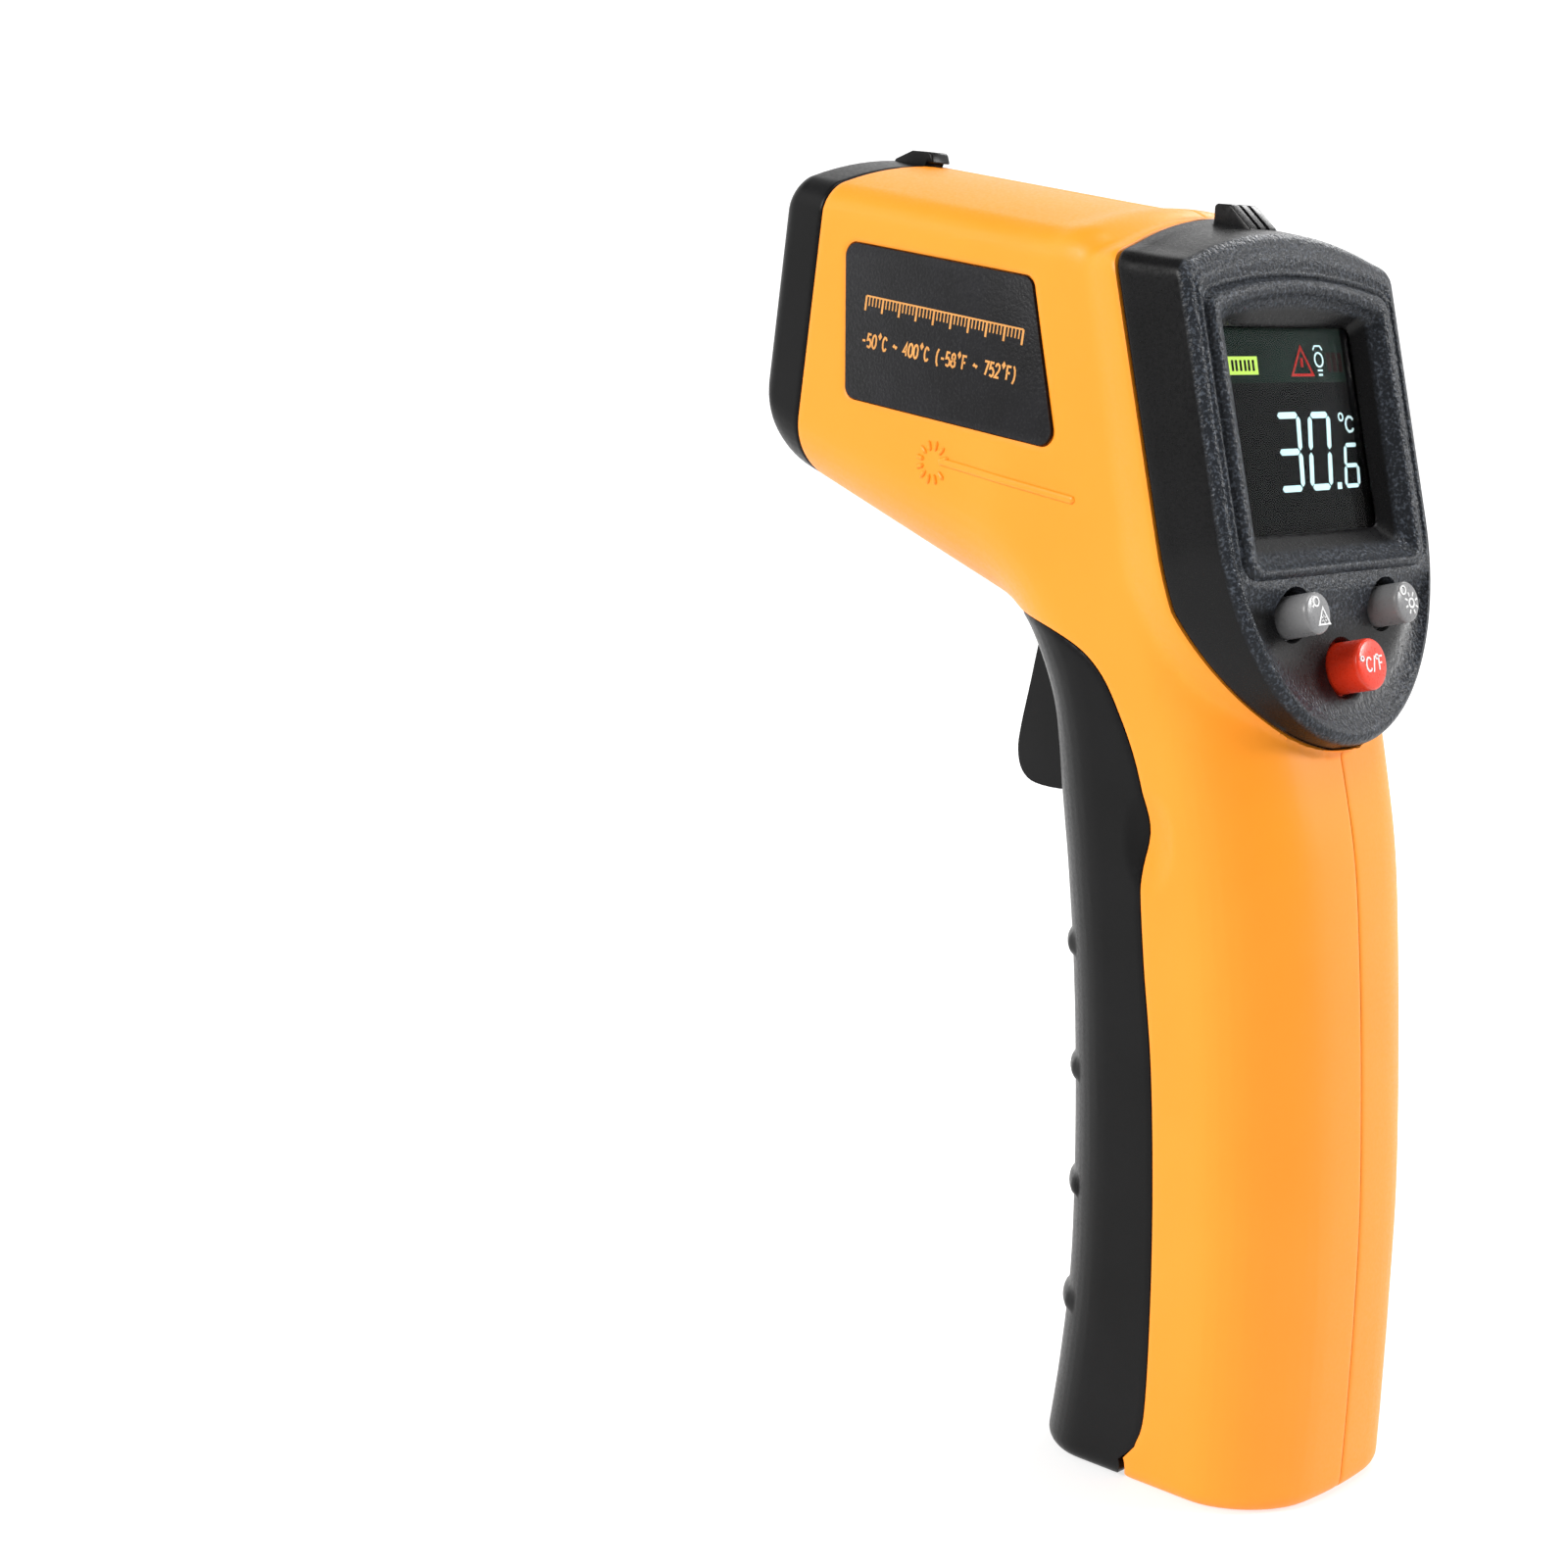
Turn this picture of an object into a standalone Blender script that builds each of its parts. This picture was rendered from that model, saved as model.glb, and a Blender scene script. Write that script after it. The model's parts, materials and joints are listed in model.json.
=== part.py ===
"""Pistol-grip infrared thermometer, upright on its flat base.

The nose points to -X, the display faces +X, Z is up and the two case halves meet at Y = 0.
Lengths are written in millimetres and multiplied by MM, so every value below is in metres.
"""

import math

import bmesh
import bpy
from mathutils import Matrix, Vector

MM = 0.001

# ---- Driving dimensions -------------------------------------------------------------------
WALL = 2.0 * MM                # thickness of the moulded case walls
GAP = 0.3 * MM                 # visible parting gap between neighbouring mouldings
CENTRE_SHIFT = 1.017 * MM      # X shift that centres the outline on the origin
CLEARANCE = 0.3 * MM           # room round a piece that sits in a pocket
PIN_CLEARANCE = 0.1 * MM       # radial room of a turning pin

# Barrel: a straight axis pitched up towards the nose; a = along the axis, b = square to it
BARREL_PITCH = math.radians(9.5)
NOSE_A = 59.5 * MM             # front face
CAP_DEPTH = 7.0 * MM           # length of the black nose cap
BARREL_REAR_A = 24.0 * MM      # where the barrel starts to turn into the grip
TOP_B = 143.6 * MM             # crown of the barrel above the base origin, at a = 0
TOP_RISE = 0.017               # rise of the crown along the axis
UNDERSIDE_B = 91.6 * MM        # underside at a = 0
UNDERSIDE_RISE = 0.273
BARREL_HALF_WIDTH = 19.5 * MM  # at a = 0
BARREL_TAPER = 0.019           # narrowing towards the nose
LOW_RADIUS_AT_NOSE = 7.0 * MM   # corner radius between the underside and the sides
LOW_RADIUS_GROWTH = 0.14       # its growth towards the grip
NOSE_EDGE_RADIUS = 2.2 * MM
CHIN_RADIUS = 5.0 * MM
BASE_EDGE_RADIUS = 1.8 * MM

# Display face: a tilted plane; y = across, s = up along the face, off = out of the face
FACE_TILT = math.radians(12.3)
FACE_ORIGIN = Vector((31.7, 0.0, 107.25)) * MM
FACE_HALF_WIDTH = 19.8 * MM
FACE_TOP = 35.1 * MM
FACE_ARCH = 3.1 * MM
TOP_GROWTH = 0.4               # the bezel's top rises towards the seam, in line with the barrel's crown
ARCH_GROWTH = 0.14
FACE_CORNER_RADIUS = 2.2 * MM
TONGUE_START = 3.0 * MM        # above this the sides are straight, below it they are half an ellipse
TONGUE_BOTTOM = -21.2 * MM
BEZEL_DEPTH = 8.5 * MM
BEZEL_TIP_DEPTH = 2.8 * MM
SEAM_STRAIGHT_TO = -4.0 * MM   # the seam runs parallel to the face down to here
BEZEL_PLATE = 2.2 * MM
BEZEL_DRAFT = 0.3 * MM         # growth of the bezel outline from the face to the seam
COLLAR_LIP = 0.3 * MM          # the yellow collar stands this far proud of the bezel
COLLAR_FLARE_START = 14.0 * MM
COLLAR_FLARE_END = 11.0 * MM
COLLAR_FRONT = 17.0 * MM

# Display opening and the buttons below it
OPENING_HALF_WIDTH = 15.0 * MM
OPENING_TOP = 26.5 * MM
OPENING_ARCH = 1.8 * MM
GLASS_HALF_WIDTH = 12.3 * MM
GLASS_BOTTOM = 2.6 * MM
GLASS_TOP = 25.2 * MM
FRAME_HEIGHT = 0.5 * MM
FRAME_MARGIN = 1.7 * MM
FRAME_BOTTOM = -2.2 * MM
BUTTON_HEIGHT = 2.7 * MM
BUTTON_CLEARANCE = 0.4 * MM
BUTTON_FLANGE = 1.1 * MM        # the hidden flange that keeps a button in its hole
BUTTON_FLANGE_THICKNESS = 1.2 * MM
BUTTON_EDGE = 0.5 * MM
GREY_BUTTON_RADIUS = 2.3 * MM
RED_BUTTON_RADIUS = 2.85 * MM
BUTTONS = {                    # name: (y, s, radius, material)
    "laser_button": (-8.7 * MM, -6.4 * MM, GREY_BUTTON_RADIUS, "grey_rubber"),
    "backlight_button": (8.7 * MM, -6.4 * MM, GREY_BUTTON_RADIUS, "grey_rubber"),
    "unit_button": (0.0, -12.6 * MM, RED_BUTTON_RADIUS, "red_rubber"),
}

# Battery door hinge, trigger pivot and trigger shape (side view, x and z)
HINGE = Vector((15.2, 0.0, 1.8)) * MM
HINGE_KNUCKLE_RADIUS = 1.8 * MM
HINGE_RELIEF_RADIUS = 2.4 * MM  # the case is cut back this far, so that the swinging door clears it
HINGE_EAR_RADIUS = 1.6 * MM
HINGE_PIN_RADIUS = 0.8 * MM
KNUCKLE_HALF_LENGTH = 8.9 * MM
EAR_START = 9.2 * MM
EAR_END = 12.6 * MM
TRIGGER_PIVOT = Vector((4.5, 0.0, 103.0)) * MM
TRIGGER_HALF_WIDTH = 4.8 * MM
TRIGGER_BOSS_RADIUS = 3.0 * MM
TRIGGER_PIN_RADIUS = 1.2 * MM
TRIGGER_PIN_HALF_LENGTH = 13.0 * MM
SLOT_HALF_WIDTH = 5.6 * MM
SLOT_BOTTOM = 74.5 * MM

# Optics, both on lines parallel to the barrel axis
LENS_B = 122.0 * MM
LENS_RADIUS = 7.2 * MM
TUBE_RADIUS = 9.0 * MM
LASER_B = 136.0 * MM
LASER_RADIUS = 3.0 * MM
LASER_HOLE_RADIUS = 1.9 * MM

# Batteries: two AAA cells side by side, standing in the grip
CELL_RADIUS = 5.25 * MM
CELL_BODY = 43.5 * MM
CELL_NUB = 1.0 * MM
CELL_NUB_RADIUS = 1.9 * MM
CELL_X = 12.8 * MM
CELL_Y = 5.6 * MM
CELL_FLOOR = 13.4 * MM         # top of the plate that the cells stand on

# Printed circuit board behind the display
BOARD_OFF = -11.2 * MM
BOARD_THICKNESS = 1.6 * MM

# Screws that hold the case halves together: (x, z)
SCREW_PLACES = [(x * MM, z * MM) for x, z in ((-16.0, 110.4), (-10.6, 139.6), (29.0, 64.0), (28.5, 14.0))]
SCREW_RADIUS = 1.25 * MM
SCREW_HEAD_RADIUS = 2.6 * MM
BOSS_RADIUS = 4.2 * MM
SCREW_SEAT_Y = 11.0 * MM        # where the screw heads sit in the right half
PCB_SCREW_PLACES = [(y * MM, s * MM) for y, s in ((-12.5, 28.9), (12.5, 28.9), (-14.2, -4.5), (14.2, -4.5))]
PCB_SCREW_RADIUS = 0.7 * MM
PCB_SCREW_HEAD_RADIUS = 1.5 * MM
PCB_BOSS_RADIUS = 1.65 * MM
FRONT_SIGHT_HALF_WIDTH = 1.6 * MM
FRONT_SIGHT_SIDE = [           # (a, rise over the crown), mm
    (58.2, -1.2), (57.6, 0.3), (55.0, 1.6), (51.8, 1.7), (51.2, 0.4), (52.7, 0.35), (52.7, -1.2)]
REAR_SIGHT_HALF_WIDTH = 2.5 * MM
REAR_SIGHT_SIDE = [            # (x, z), mm
    (15.9, 141.0), (16.0, 144.7), (16.3, 144.9), (18.2, 144.7), (20.9, 142.1), (21.1, 139.8), (16.4, 141.0)]
SIGHT_GROOVE_SIDE = [(15.0, 144.3), (15.0, 148.0), (25.0, 147.0), (25.0, 141.0), (20.5, 141.9), (18.0, 144.1)]
SIGHT_GROOVE_HALF_WIDTH = 0.35 * MM
SIGHT_GROOVE_PLACES = [-0.83 * MM, 0.83 * MM]

# Side label (a, b corners) and its pocket
LABEL_CORNERS = [(47.8, 135.6), (44.8, 117.8), (12.0, 117.9), (18.6, 135.6)]
LABEL_CORNER_RADIUS = 1.6 * MM
LABEL_THICKNESS = 0.5 * MM
LABEL_POCKET = 0.7 * MM

# Mesh fineness
ARCH_STEPS = 3
CORNER_STEPS = 4
SIDE_STEPS = 2
TONGUE_STEPS = 7
ROUND_SIDES = 20
HOLE_SIDES = 12
LENS_SIDES = 28                # lens, its mounts and the cells

# Grip: (front x, front z, rear x, rear z, half width, front corner, rear corner, front arch, rear arch)
GRIP_STATIONS = [
    (-4.4, 99.4, 6.5, 144.3, 19.25, 12.0, 3.0, 1.0, 3.4),
    (-2.0, 97.4, 12.6, 143.5, 19.2, 12.0, 3.2, 1.0, 3.4),
    (0.0, 94.6, 18.6, 136.5, 19.1, 12.0, 5.0, 1.0, 3.2),
    (1.4, 91.0, 21.8, 122.0, 18.9, 12.0, 7.0, 1.0, 3.0),
    (2.2, 87.2, 25.2, 109.0, 18.5, 11.6, 8.0, 1.0, 2.5),
    (2.1, 83.4, 28.6, 98.5, 17.9, 11.0, 8.8, 1.2, 2.2),
    (2.0, 79.6, 31.9, 90.0, 17.3, 10.4, 9.6, 1.4, 2.0),
    (2.3, 75.5, 34.1, 81.5, 16.9, 9.8, 10.0, 1.6, 2.0),
    (2.8, 70.0, 35.8, 72.5, 16.6, 9.4, 10.2, 1.8, 2.0),
    (3.4, 60.0, 36.9, 60.0, 16.3, 9.4, 10.2, 2.0, 2.0),
    (3.9, 47.0, 37.6, 47.0, 16.1, 9.4, 10.2, 2.0, 2.0),
    (3.9, 34.0, 38.0, 34.0, 15.9, 9.4, 10.2, 2.0, 2.0),
    (4.0, 22.0, 37.8, 22.0, 15.7, 9.2, 10.2, 2.0, 2.0),
    (2.6, 10.0, 37.3, 10.0, 15.6, 8.6, 10.0, 2.0, 2.0),
    (0.8, 0.0, 36.7, 0.0, 15.5, 8.0, 9.6, 2.0, 2.0),
]

# Seam between the black battery door and the yellow case, from the barrel underside down (x, z)
DOOR_SEAM = [(-5.5, 99.8), (3.6, 99.2), (9.8, 97.2), (13.6, 94.2), (16.2, 89.5), (18.4, 83.5), (19.5, 77.5),
             (18.7, 71.5), (19.2, 62.0), (20.4, 50.0), (20.9, 36.0), (20.8, 22.0), (20.2, 9.0), (18.9, 4.6)]


# ---- Scene and materials --------------------------------------------------------------------
def clear_scene():
    for old in list(bpy.data.objects):
        bpy.data.objects.remove(old, do_unlink=True)


def new_collection(name):
    collection = bpy.data.collections.new(name)
    bpy.context.scene.collection.children.link(collection)
    return collection


MATERIALS = {                  # name: (colour, roughness, metallic)
    "yellow_plastic": ((1.0, 0.45, 0.05), 0.38, 0.0),
    "black_plastic": ((0.022, 0.022, 0.026), 0.42, 0.0),
    "bezel_plastic": ((0.04, 0.04, 0.045), 0.6, 0.0),
    "grey_rubber": ((0.17, 0.17, 0.18), 0.5, 0.0),
    "red_rubber": ((0.85, 0.05, 0.01), 0.4, 0.0),
    "label_film": ((0.02, 0.02, 0.03), 0.5, 0.0),
    "clear_window": ((0.03, 0.04, 0.05), 0.05, 0.0),
    "lens_plastic": ((0.75, 0.75, 0.72), 0.3, 0.0),
    "display_glass": ((0.01, 0.02, 0.02), 0.1, 0.0),
    "board_green": ((0.02, 0.22, 0.07), 0.5, 0.0),
    "chip_black": ((0.02, 0.02, 0.02), 0.5, 0.0),
    "white_plastic": ((0.8, 0.8, 0.78), 0.4, 0.0),
    "steel": ((0.6, 0.6, 0.6), 0.3, 1.0),
    "brass": ((0.75, 0.55, 0.2), 0.3, 1.0),
    "cell_wrap": ((0.05, 0.25, 0.1), 0.35, 0.0),
    "wire_red": ((0.6, 0.02, 0.02), 0.5, 0.0),
    "wire_black": ((0.02, 0.02, 0.02), 0.5, 0.0),
    "wire_grey": ((0.45, 0.45, 0.45), 0.5, 0.0),
}


def material(name):
    found = bpy.data.materials.get(name)
    if found:
        return found
    colour, roughness, metallic = MATERIALS[name]
    made = bpy.data.materials.new(name)
    made.use_nodes = True
    shader = made.node_tree.nodes["Principled BSDF"]
    shader.inputs["Base Color"].default_value = (*colour, 1.0)
    shader.inputs["Roughness"].default_value = roughness
    shader.inputs["Metallic"].default_value = metallic
    made.diffuse_color = (*colour, 1.0)
    return made


clear_scene()
PARTS = new_collection("infrared_thermometer")
CUTTERS = new_collection("cutters")


# ---- Basic solids ---------------------------------------------------------------------------
def finish_object(name, mesh, surface=None):
    """Link a mesh as a part when it has a material, or else as a hidden cutter."""
    obj = bpy.data.objects.new(name, mesh)
    if surface:
        mesh.materials.clear()
        mesh.materials.append(material(surface))
        mesh.shade_smooth()
        mesh.set_sharp_from_angle(angle=math.radians(35))
        PARTS.objects.link(obj)
    else:
        obj.hide_render = True
        obj.display_type = "WIRE"
        CUTTERS.objects.link(obj)
    return obj


def from_bmesh(name, bm, surface=None):
    bmesh.ops.recalc_face_normals(bm, faces=bm.faces)
    mesh = bpy.data.meshes.new(name)
    bm.to_mesh(mesh)
    bm.free()
    return finish_object(name, mesh, surface)


def box(name, size, place, surface=None):
    """A box of the given size; place is the matrix that puts its centre."""
    bm = bmesh.new()
    bmesh.ops.create_cube(bm, size=1.0, matrix=place @ Matrix.Diagonal((*size, 1.0)))
    return from_bmesh(name, bm, surface)


def span_box(name, low, high, surface=None):
    """A box between two corners, square to the axes."""
    low, high = Vector(low), Vector(high)
    return box(name, high - low, Matrix.Translation((low + high) / 2), surface)


def rod(name, start, end, radius, surface=None, end_radius=None, sides=ROUND_SIDES):
    """A cylinder, or a cone when end_radius is given, from start to end."""
    start, end = Vector(start), Vector(end)
    turn = (end - start).to_track_quat("Z", "Y").to_matrix().to_4x4()
    bm = bmesh.new()
    bmesh.ops.create_cone(
        bm, cap_ends=True, segments=sides, radius1=radius,
        radius2=radius if end_radius is None else end_radius, depth=(end - start).length,
        matrix=Matrix.Translation((start + end) / 2) @ turn,
    )
    return from_bmesh(name, bm, surface)


def loft(name, rings, surface=None):
    """A closed solid through rings of equally many points, with flat ends."""
    bm = bmesh.new()
    rows = [[bm.verts.new(point) for point in ring] for ring in rings]
    count = len(rows[0])
    for near, far in zip(rows, rows[1:]):
        for i in range(count):
            j = (i + 1) % count
            bm.faces.new((near[i], near[j], far[j], far[i]))
    bm.faces.new(rows[0])
    bm.faces.new(rows[-1][::-1])
    bmesh.ops.triangulate(bm, faces=bm.faces[:])
    return from_bmesh(name, bm, surface)


def as_mesh(obj):
    """The evaluated mesh of an object, in world space, with the object removed."""
    bpy.context.view_layer.update()
    evaluated = obj.evaluated_get(bpy.context.evaluated_depsgraph_get())
    mesh = bpy.data.meshes.new_from_object(evaluated)
    mesh.transform(obj.matrix_world)
    bm = bmesh.new()
    bm.from_mesh(mesh)
    bmesh.ops.remove_doubles(bm, verts=bm.verts, dist=1e-6)
    bm.to_mesh(mesh)
    bm.free()
    bpy.data.objects.remove(obj, do_unlink=True)
    return mesh


def extruded(name, outline, half_thickness, place, surface=None):
    """A flat outline (2D points) thickened both ways, placed by a matrix."""
    curve = bpy.data.curves.new(name + "_outline", "CURVE")
    curve.dimensions = "2D"
    curve.fill_mode = "BOTH"
    curve.extrude = half_thickness
    spline = curve.splines.new("POLY")
    spline.points.add(len(outline) - 1)
    for point, (u, v) in zip(spline.points, outline):
        point.co = (u, v, 0.0, 1.0)
    spline.use_cyclic_u = True
    guide = bpy.data.objects.new(name + "_outline", curve)
    guide.matrix_world = place
    CUTTERS.objects.link(guide)
    return finish_object(name, as_mesh(guide), surface)


def tube(name, points, radius, surface):
    """A round wire or spring through the given points."""
    curve = bpy.data.curves.new(name + "_path", "CURVE")
    curve.dimensions = "3D"
    curve.bevel_depth = radius
    curve.bevel_resolution = 2
    curve.use_fill_caps = True
    spline = curve.splines.new("POLY")
    spline.points.add(len(points) - 1)
    for node, point in zip(spline.points, points):
        node.co = (*point, 1.0)
    guide = bpy.data.objects.new(name + "_path", curve)
    CUTTERS.objects.link(guide)
    return finish_object(name, as_mesh(guide), surface)


def combine(target, tool, operation="DIFFERENCE"):
    """Add a Boolean of a cutter, or of a piece that becomes part of the target."""
    modifier = target.modifiers.new(tool.name, "BOOLEAN")
    modifier.operation = operation
    modifier.object = tool
    modifier.solver = "EXACT"


def copy_of(obj, name, surface=None):
    return finish_object(name, obj.data.copy(), surface)


def baked(obj):
    """The same cutter with its Booleans worked out."""
    name = obj.name
    return finish_object(name + "_solid", as_mesh(obj))


# ---- Frames of reference --------------------------------------------------------------------
AXIS_A = Vector((-math.cos(BARREL_PITCH), 0.0, math.sin(BARREL_PITCH)))
AXIS_B = Vector((math.sin(BARREL_PITCH), 0.0, math.cos(BARREL_PITCH)))
FACE_OUT = Vector((math.cos(FACE_TILT), 0.0, math.sin(FACE_TILT)))
FACE_UP = Vector((-math.sin(FACE_TILT), 0.0, math.cos(FACE_TILT)))
ACROSS = Vector((0.0, 1.0, 0.0))


def barrel_point(a, b, y=0.0):
    return AXIS_A * a + AXIS_B * b + ACROSS * y


def face_point(y, s, off):
    return FACE_ORIGIN + ACROSS * y + FACE_UP * s + FACE_OUT * off


def matrix_from(x_axis, y_axis, z_axis, origin):
    turn = Matrix((x_axis, y_axis, z_axis)).transposed()
    return Matrix.Translation(origin) @ turn.to_4x4()


SIDE_VIEW = matrix_from(Vector((1, 0, 0)), Vector((0, 0, 1)), Vector((0, -1, 0)), Vector((0, 0, 0)))
BARREL_SIDE = matrix_from(-AXIS_A, AXIS_B, -ACROSS, Vector((0, 0, 0)))
FACE_VIEW = matrix_from(ACROSS, FACE_UP, FACE_OUT, FACE_ORIGIN)


def face_box(name, low, high, surface=None):
    """A box square to the display face, between two (y, s, off) corners."""
    low, high = Vector(low), Vector(high)
    centre = face_point(*((low + high) / 2))
    place = Matrix.Translation(centre) @ FACE_VIEW.to_3x3().to_4x4()
    return box(name, high - low, place, surface)


def face_rod(name, y, s, off_from, off_to, radius, surface=None, end_radius=None, sides=ROUND_SIDES):
    return rod(name, face_point(y, s, off_from), face_point(y, s, off_to), radius, surface, end_radius, sides)


def barrel_rod(name, b, a_from, a_to, radius, surface=None, end_radius=None, sides=ROUND_SIDES):
    return rod(name, barrel_point(a_from, b), barrel_point(a_to, b), radius, surface, end_radius, sides)


# ---- Outer form -----------------------------------------------------------------------------
def arc(centre_u, centre_v, radius, from_deg, to_deg, steps):
    points = []
    for i in range(steps + 1):
        angle = math.radians(from_deg + (to_deg - from_deg) * i / steps)
        points.append((centre_u + radius * math.cos(angle), centre_v + radius * math.sin(angle)))
    return points


def mirrored(half):
    """A closed outline from its right half, which starts and ends on u = 0."""
    left = [(-u, v) for u, v in half[-2:0:-1]]
    return half + left


def section_outline(height, width, low_radius, high_radius, low_arch, high_arch):
    """A rounded rectangle with crowned ends: u across, v from 0 to height."""
    half = [(i / ARCH_STEPS * (width - high_radius), height) for i in range(ARCH_STEPS)]
    half += arc(width - high_radius, height - high_radius, high_radius, 90, 0, CORNER_STEPS)
    side_top, side_bottom = height - high_radius, low_radius
    half += [(width, side_top + (side_bottom - side_top) * i / SIDE_STEPS) for i in range(1, SIDE_STEPS)]
    half += arc(width - low_radius, low_radius, low_radius, 0, -90, CORNER_STEPS)
    half += [((width - low_radius) * (1 - i / ARCH_STEPS), 0.0) for i in range(1, ARCH_STEPS + 1)]
    crowned = []
    for u, v in mirrored(half):
        bow = (u / width) ** 2
        share = v / height
        crowned.append((u, v - high_arch * bow * share + low_arch * bow * (1 - share)))
    return crowned


def section_ring(low, high, width, low_radius, high_radius, low_arch, high_arch, inset):
    """One section of the body between its low and high points, shrunk by inset."""
    up = (high - low).normalized()
    height = (high - low).length - 2 * inset
    start = low + up * inset
    least = 0.6 * MM
    outline = section_outline(height, width - inset, max(low_radius - inset, least),
                              max(high_radius - inset, least), low_arch, high_arch)
    return [start + up * v + ACROSS * u for u, v in outline]


def edge_inset(radius, depth):
    """How far a rounded edge has drawn in at this depth below the end face."""
    if depth >= radius:
        return 0.0
    return radius - math.sqrt(radius ** 2 - (radius - depth) ** 2)


def barrel_station(a, inset=0.0, depth=None):
    """Section square to the barrel axis; depth from the nose face rounds its front edges."""
    edge = 0.0 if depth is None else edge_inset(NOSE_EDGE_RADIUS, depth)
    chin = 0.0 if depth is None else edge_inset(CHIN_RADIUS, depth)
    low = barrel_point(a, UNDERSIDE_B + UNDERSIDE_RISE * a + chin)
    high = barrel_point(a, TOP_B + TOP_RISE * a - edge)
    width = BARREL_HALF_WIDTH - BARREL_TAPER * a - edge
    low_radius = LOW_RADIUS_AT_NOSE + LOW_RADIUS_GROWTH * (NOSE_A - a)
    return section_ring(low, high, width, low_radius, 3.0 * MM, 1.0 * MM, 3.5 * MM, inset)


def grip_station(row, inset=0.0, depth=None):
    """Section of the grip from a row of GRIP_STATIONS; depth from the base rounds its foot."""
    x_low, z_low, x_high, z_high, width, low_radius, high_radius, low_arch, high_arch = (v * MM for v in row)
    foot = 0.0 if depth is None else edge_inset(BASE_EDGE_RADIUS, depth)
    low, high = Vector((x_low, 0.0, z_low)), Vector((x_high, 0.0, z_high))
    return section_ring(low, high, width, low_radius, high_radius, low_arch, high_arch, inset + foot)


def grip_at(height):
    """Interpolated GRIP_STATIONS row at a height in the straight lower grip, in millimetres."""
    for above, below in zip(GRIP_STATIONS, GRIP_STATIONS[1:]):
        if below[1] <= height <= above[1]:
            t = (above[1] - height) / (above[1] - below[1])
            row = [p + (q - p) * t for p, q in zip(above, below)]
            row[1] = row[3] = height
            return row
    raise ValueError("no grip section at this height")


def body_rings(inset=0.0):
    """Rings from the nose face, along the barrel, round into the grip and down to the base."""
    rings = []
    if inset:
        rings.append(barrel_station(NOSE_A - inset, inset, NOSE_EDGE_RADIUS))
        depths = [5.0 * MM]
    else:
        depths = [0.0, 0.4 * MM, 1.2 * MM, 2.4 * MM, 5.0 * MM]
    for depth in depths:
        rings.append(barrel_station(NOSE_A - depth, inset, depth))
    rings += [barrel_station(a * MM, inset) for a in (46, 36, 29)]
    rings.append(barrel_station(BARREL_REAR_A, inset))
    rings += [grip_station(row, inset) for row in GRIP_STATIONS[:-1]]
    heights = [inset] if inset else [1.8 * MM, 0.8 * MM, 0.2 * MM, 0.0]
    for height in heights:
        rings.append(grip_station(grip_at(height / MM), inset, None if inset else height))
    return rings


def tongue_outline(inset, depth=0.0):
    """The display face's outline: arched top, straight sides and an elliptic tongue, (y, s)."""
    width = FACE_HALF_WIDTH - inset
    top = FACE_TOP + TOP_GROWTH * depth - inset
    radius = max(FACE_CORNER_RADIUS - inset, 0.6 * MM)
    arch = FACE_ARCH + ARCH_GROWTH * TOP_GROWTH * depth
    corner_top = top - arch
    half = []
    for i in range(ARCH_STEPS * 2):
        y = (width - radius) * i / (ARCH_STEPS * 2)
        half.append((y, top - arch * (y / (width - radius)) ** 2))
    half += arc(width - radius, corner_top - radius, radius, 90 - 12, 0, CORNER_STEPS)
    half += [(width, 18.0 * MM)]
    tall = TONGUE_START - TONGUE_BOTTOM - inset
    for i in range(TONGUE_STEPS + 1):
        angle = math.pi / 2 * i / TONGUE_STEPS
        half.append((width * math.cos(angle), TONGUE_START - tall * math.sin(angle)))
    return mirrored(half)


def tongue_ring(inset, off):
    """The outline at a distance off the face, with its top rising with the depth behind the face."""
    return [face_point(y, s, off) for y, s in tongue_outline(inset, max(-off, 0.0))]


def seam_off(s):
    """Depth of the bezel seam behind the face at height s."""
    if s >= SEAM_STRAIGHT_TO:
        return -BEZEL_DEPTH
    share = (SEAM_STRAIGHT_TO - s) / (SEAM_STRAIGHT_TO - TONGUE_BOTTOM)
    return -BEZEL_DEPTH + (BEZEL_DEPTH - BEZEL_TIP_DEPTH) * share ** 1.1


# ---- Cutters that part the body -------------------------------------------------------------
REACH = 60 * MM                # how far the parting cutters run past the body


def prism(name, outline_xz, half_width=REACH):
    return extruded(name, outline_xz, half_width, SIDE_VIEW)


def nose_zone(name, a):
    """Everything ahead of a plane square to the barrel axis."""
    corners = [barrel_point(a, 60 * MM), barrel_point(a + REACH, 60 * MM),
               barrel_point(a + REACH, 200 * MM), barrel_point(a, 200 * MM)]
    return prism(name, [(p.x, p.z) for p in corners])


def bezel_zone(name, shift):
    """Everything behind the bezel seam; shift moves the seam outwards."""
    steps = 10
    heights = [SEAM_STRAIGHT_TO + (TONGUE_BOTTOM - SEAM_STRAIGHT_TO) * i / steps for i in range(steps + 1)]
    points = [face_point(0, 60 * MM, seam_off(0) + shift)]
    points += [face_point(0, s, seam_off(s) + shift) for s in heights]
    points.append(face_point(0, TONGUE_BOTTOM - GAP + shift, -1.0 * MM))
    points.append(face_point(0, TONGUE_BOTTOM - GAP + shift, REACH))
    points.append(face_point(0, 60 * MM, REACH))
    return prism(name, [(p.x, p.z) for p in points])


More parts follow.
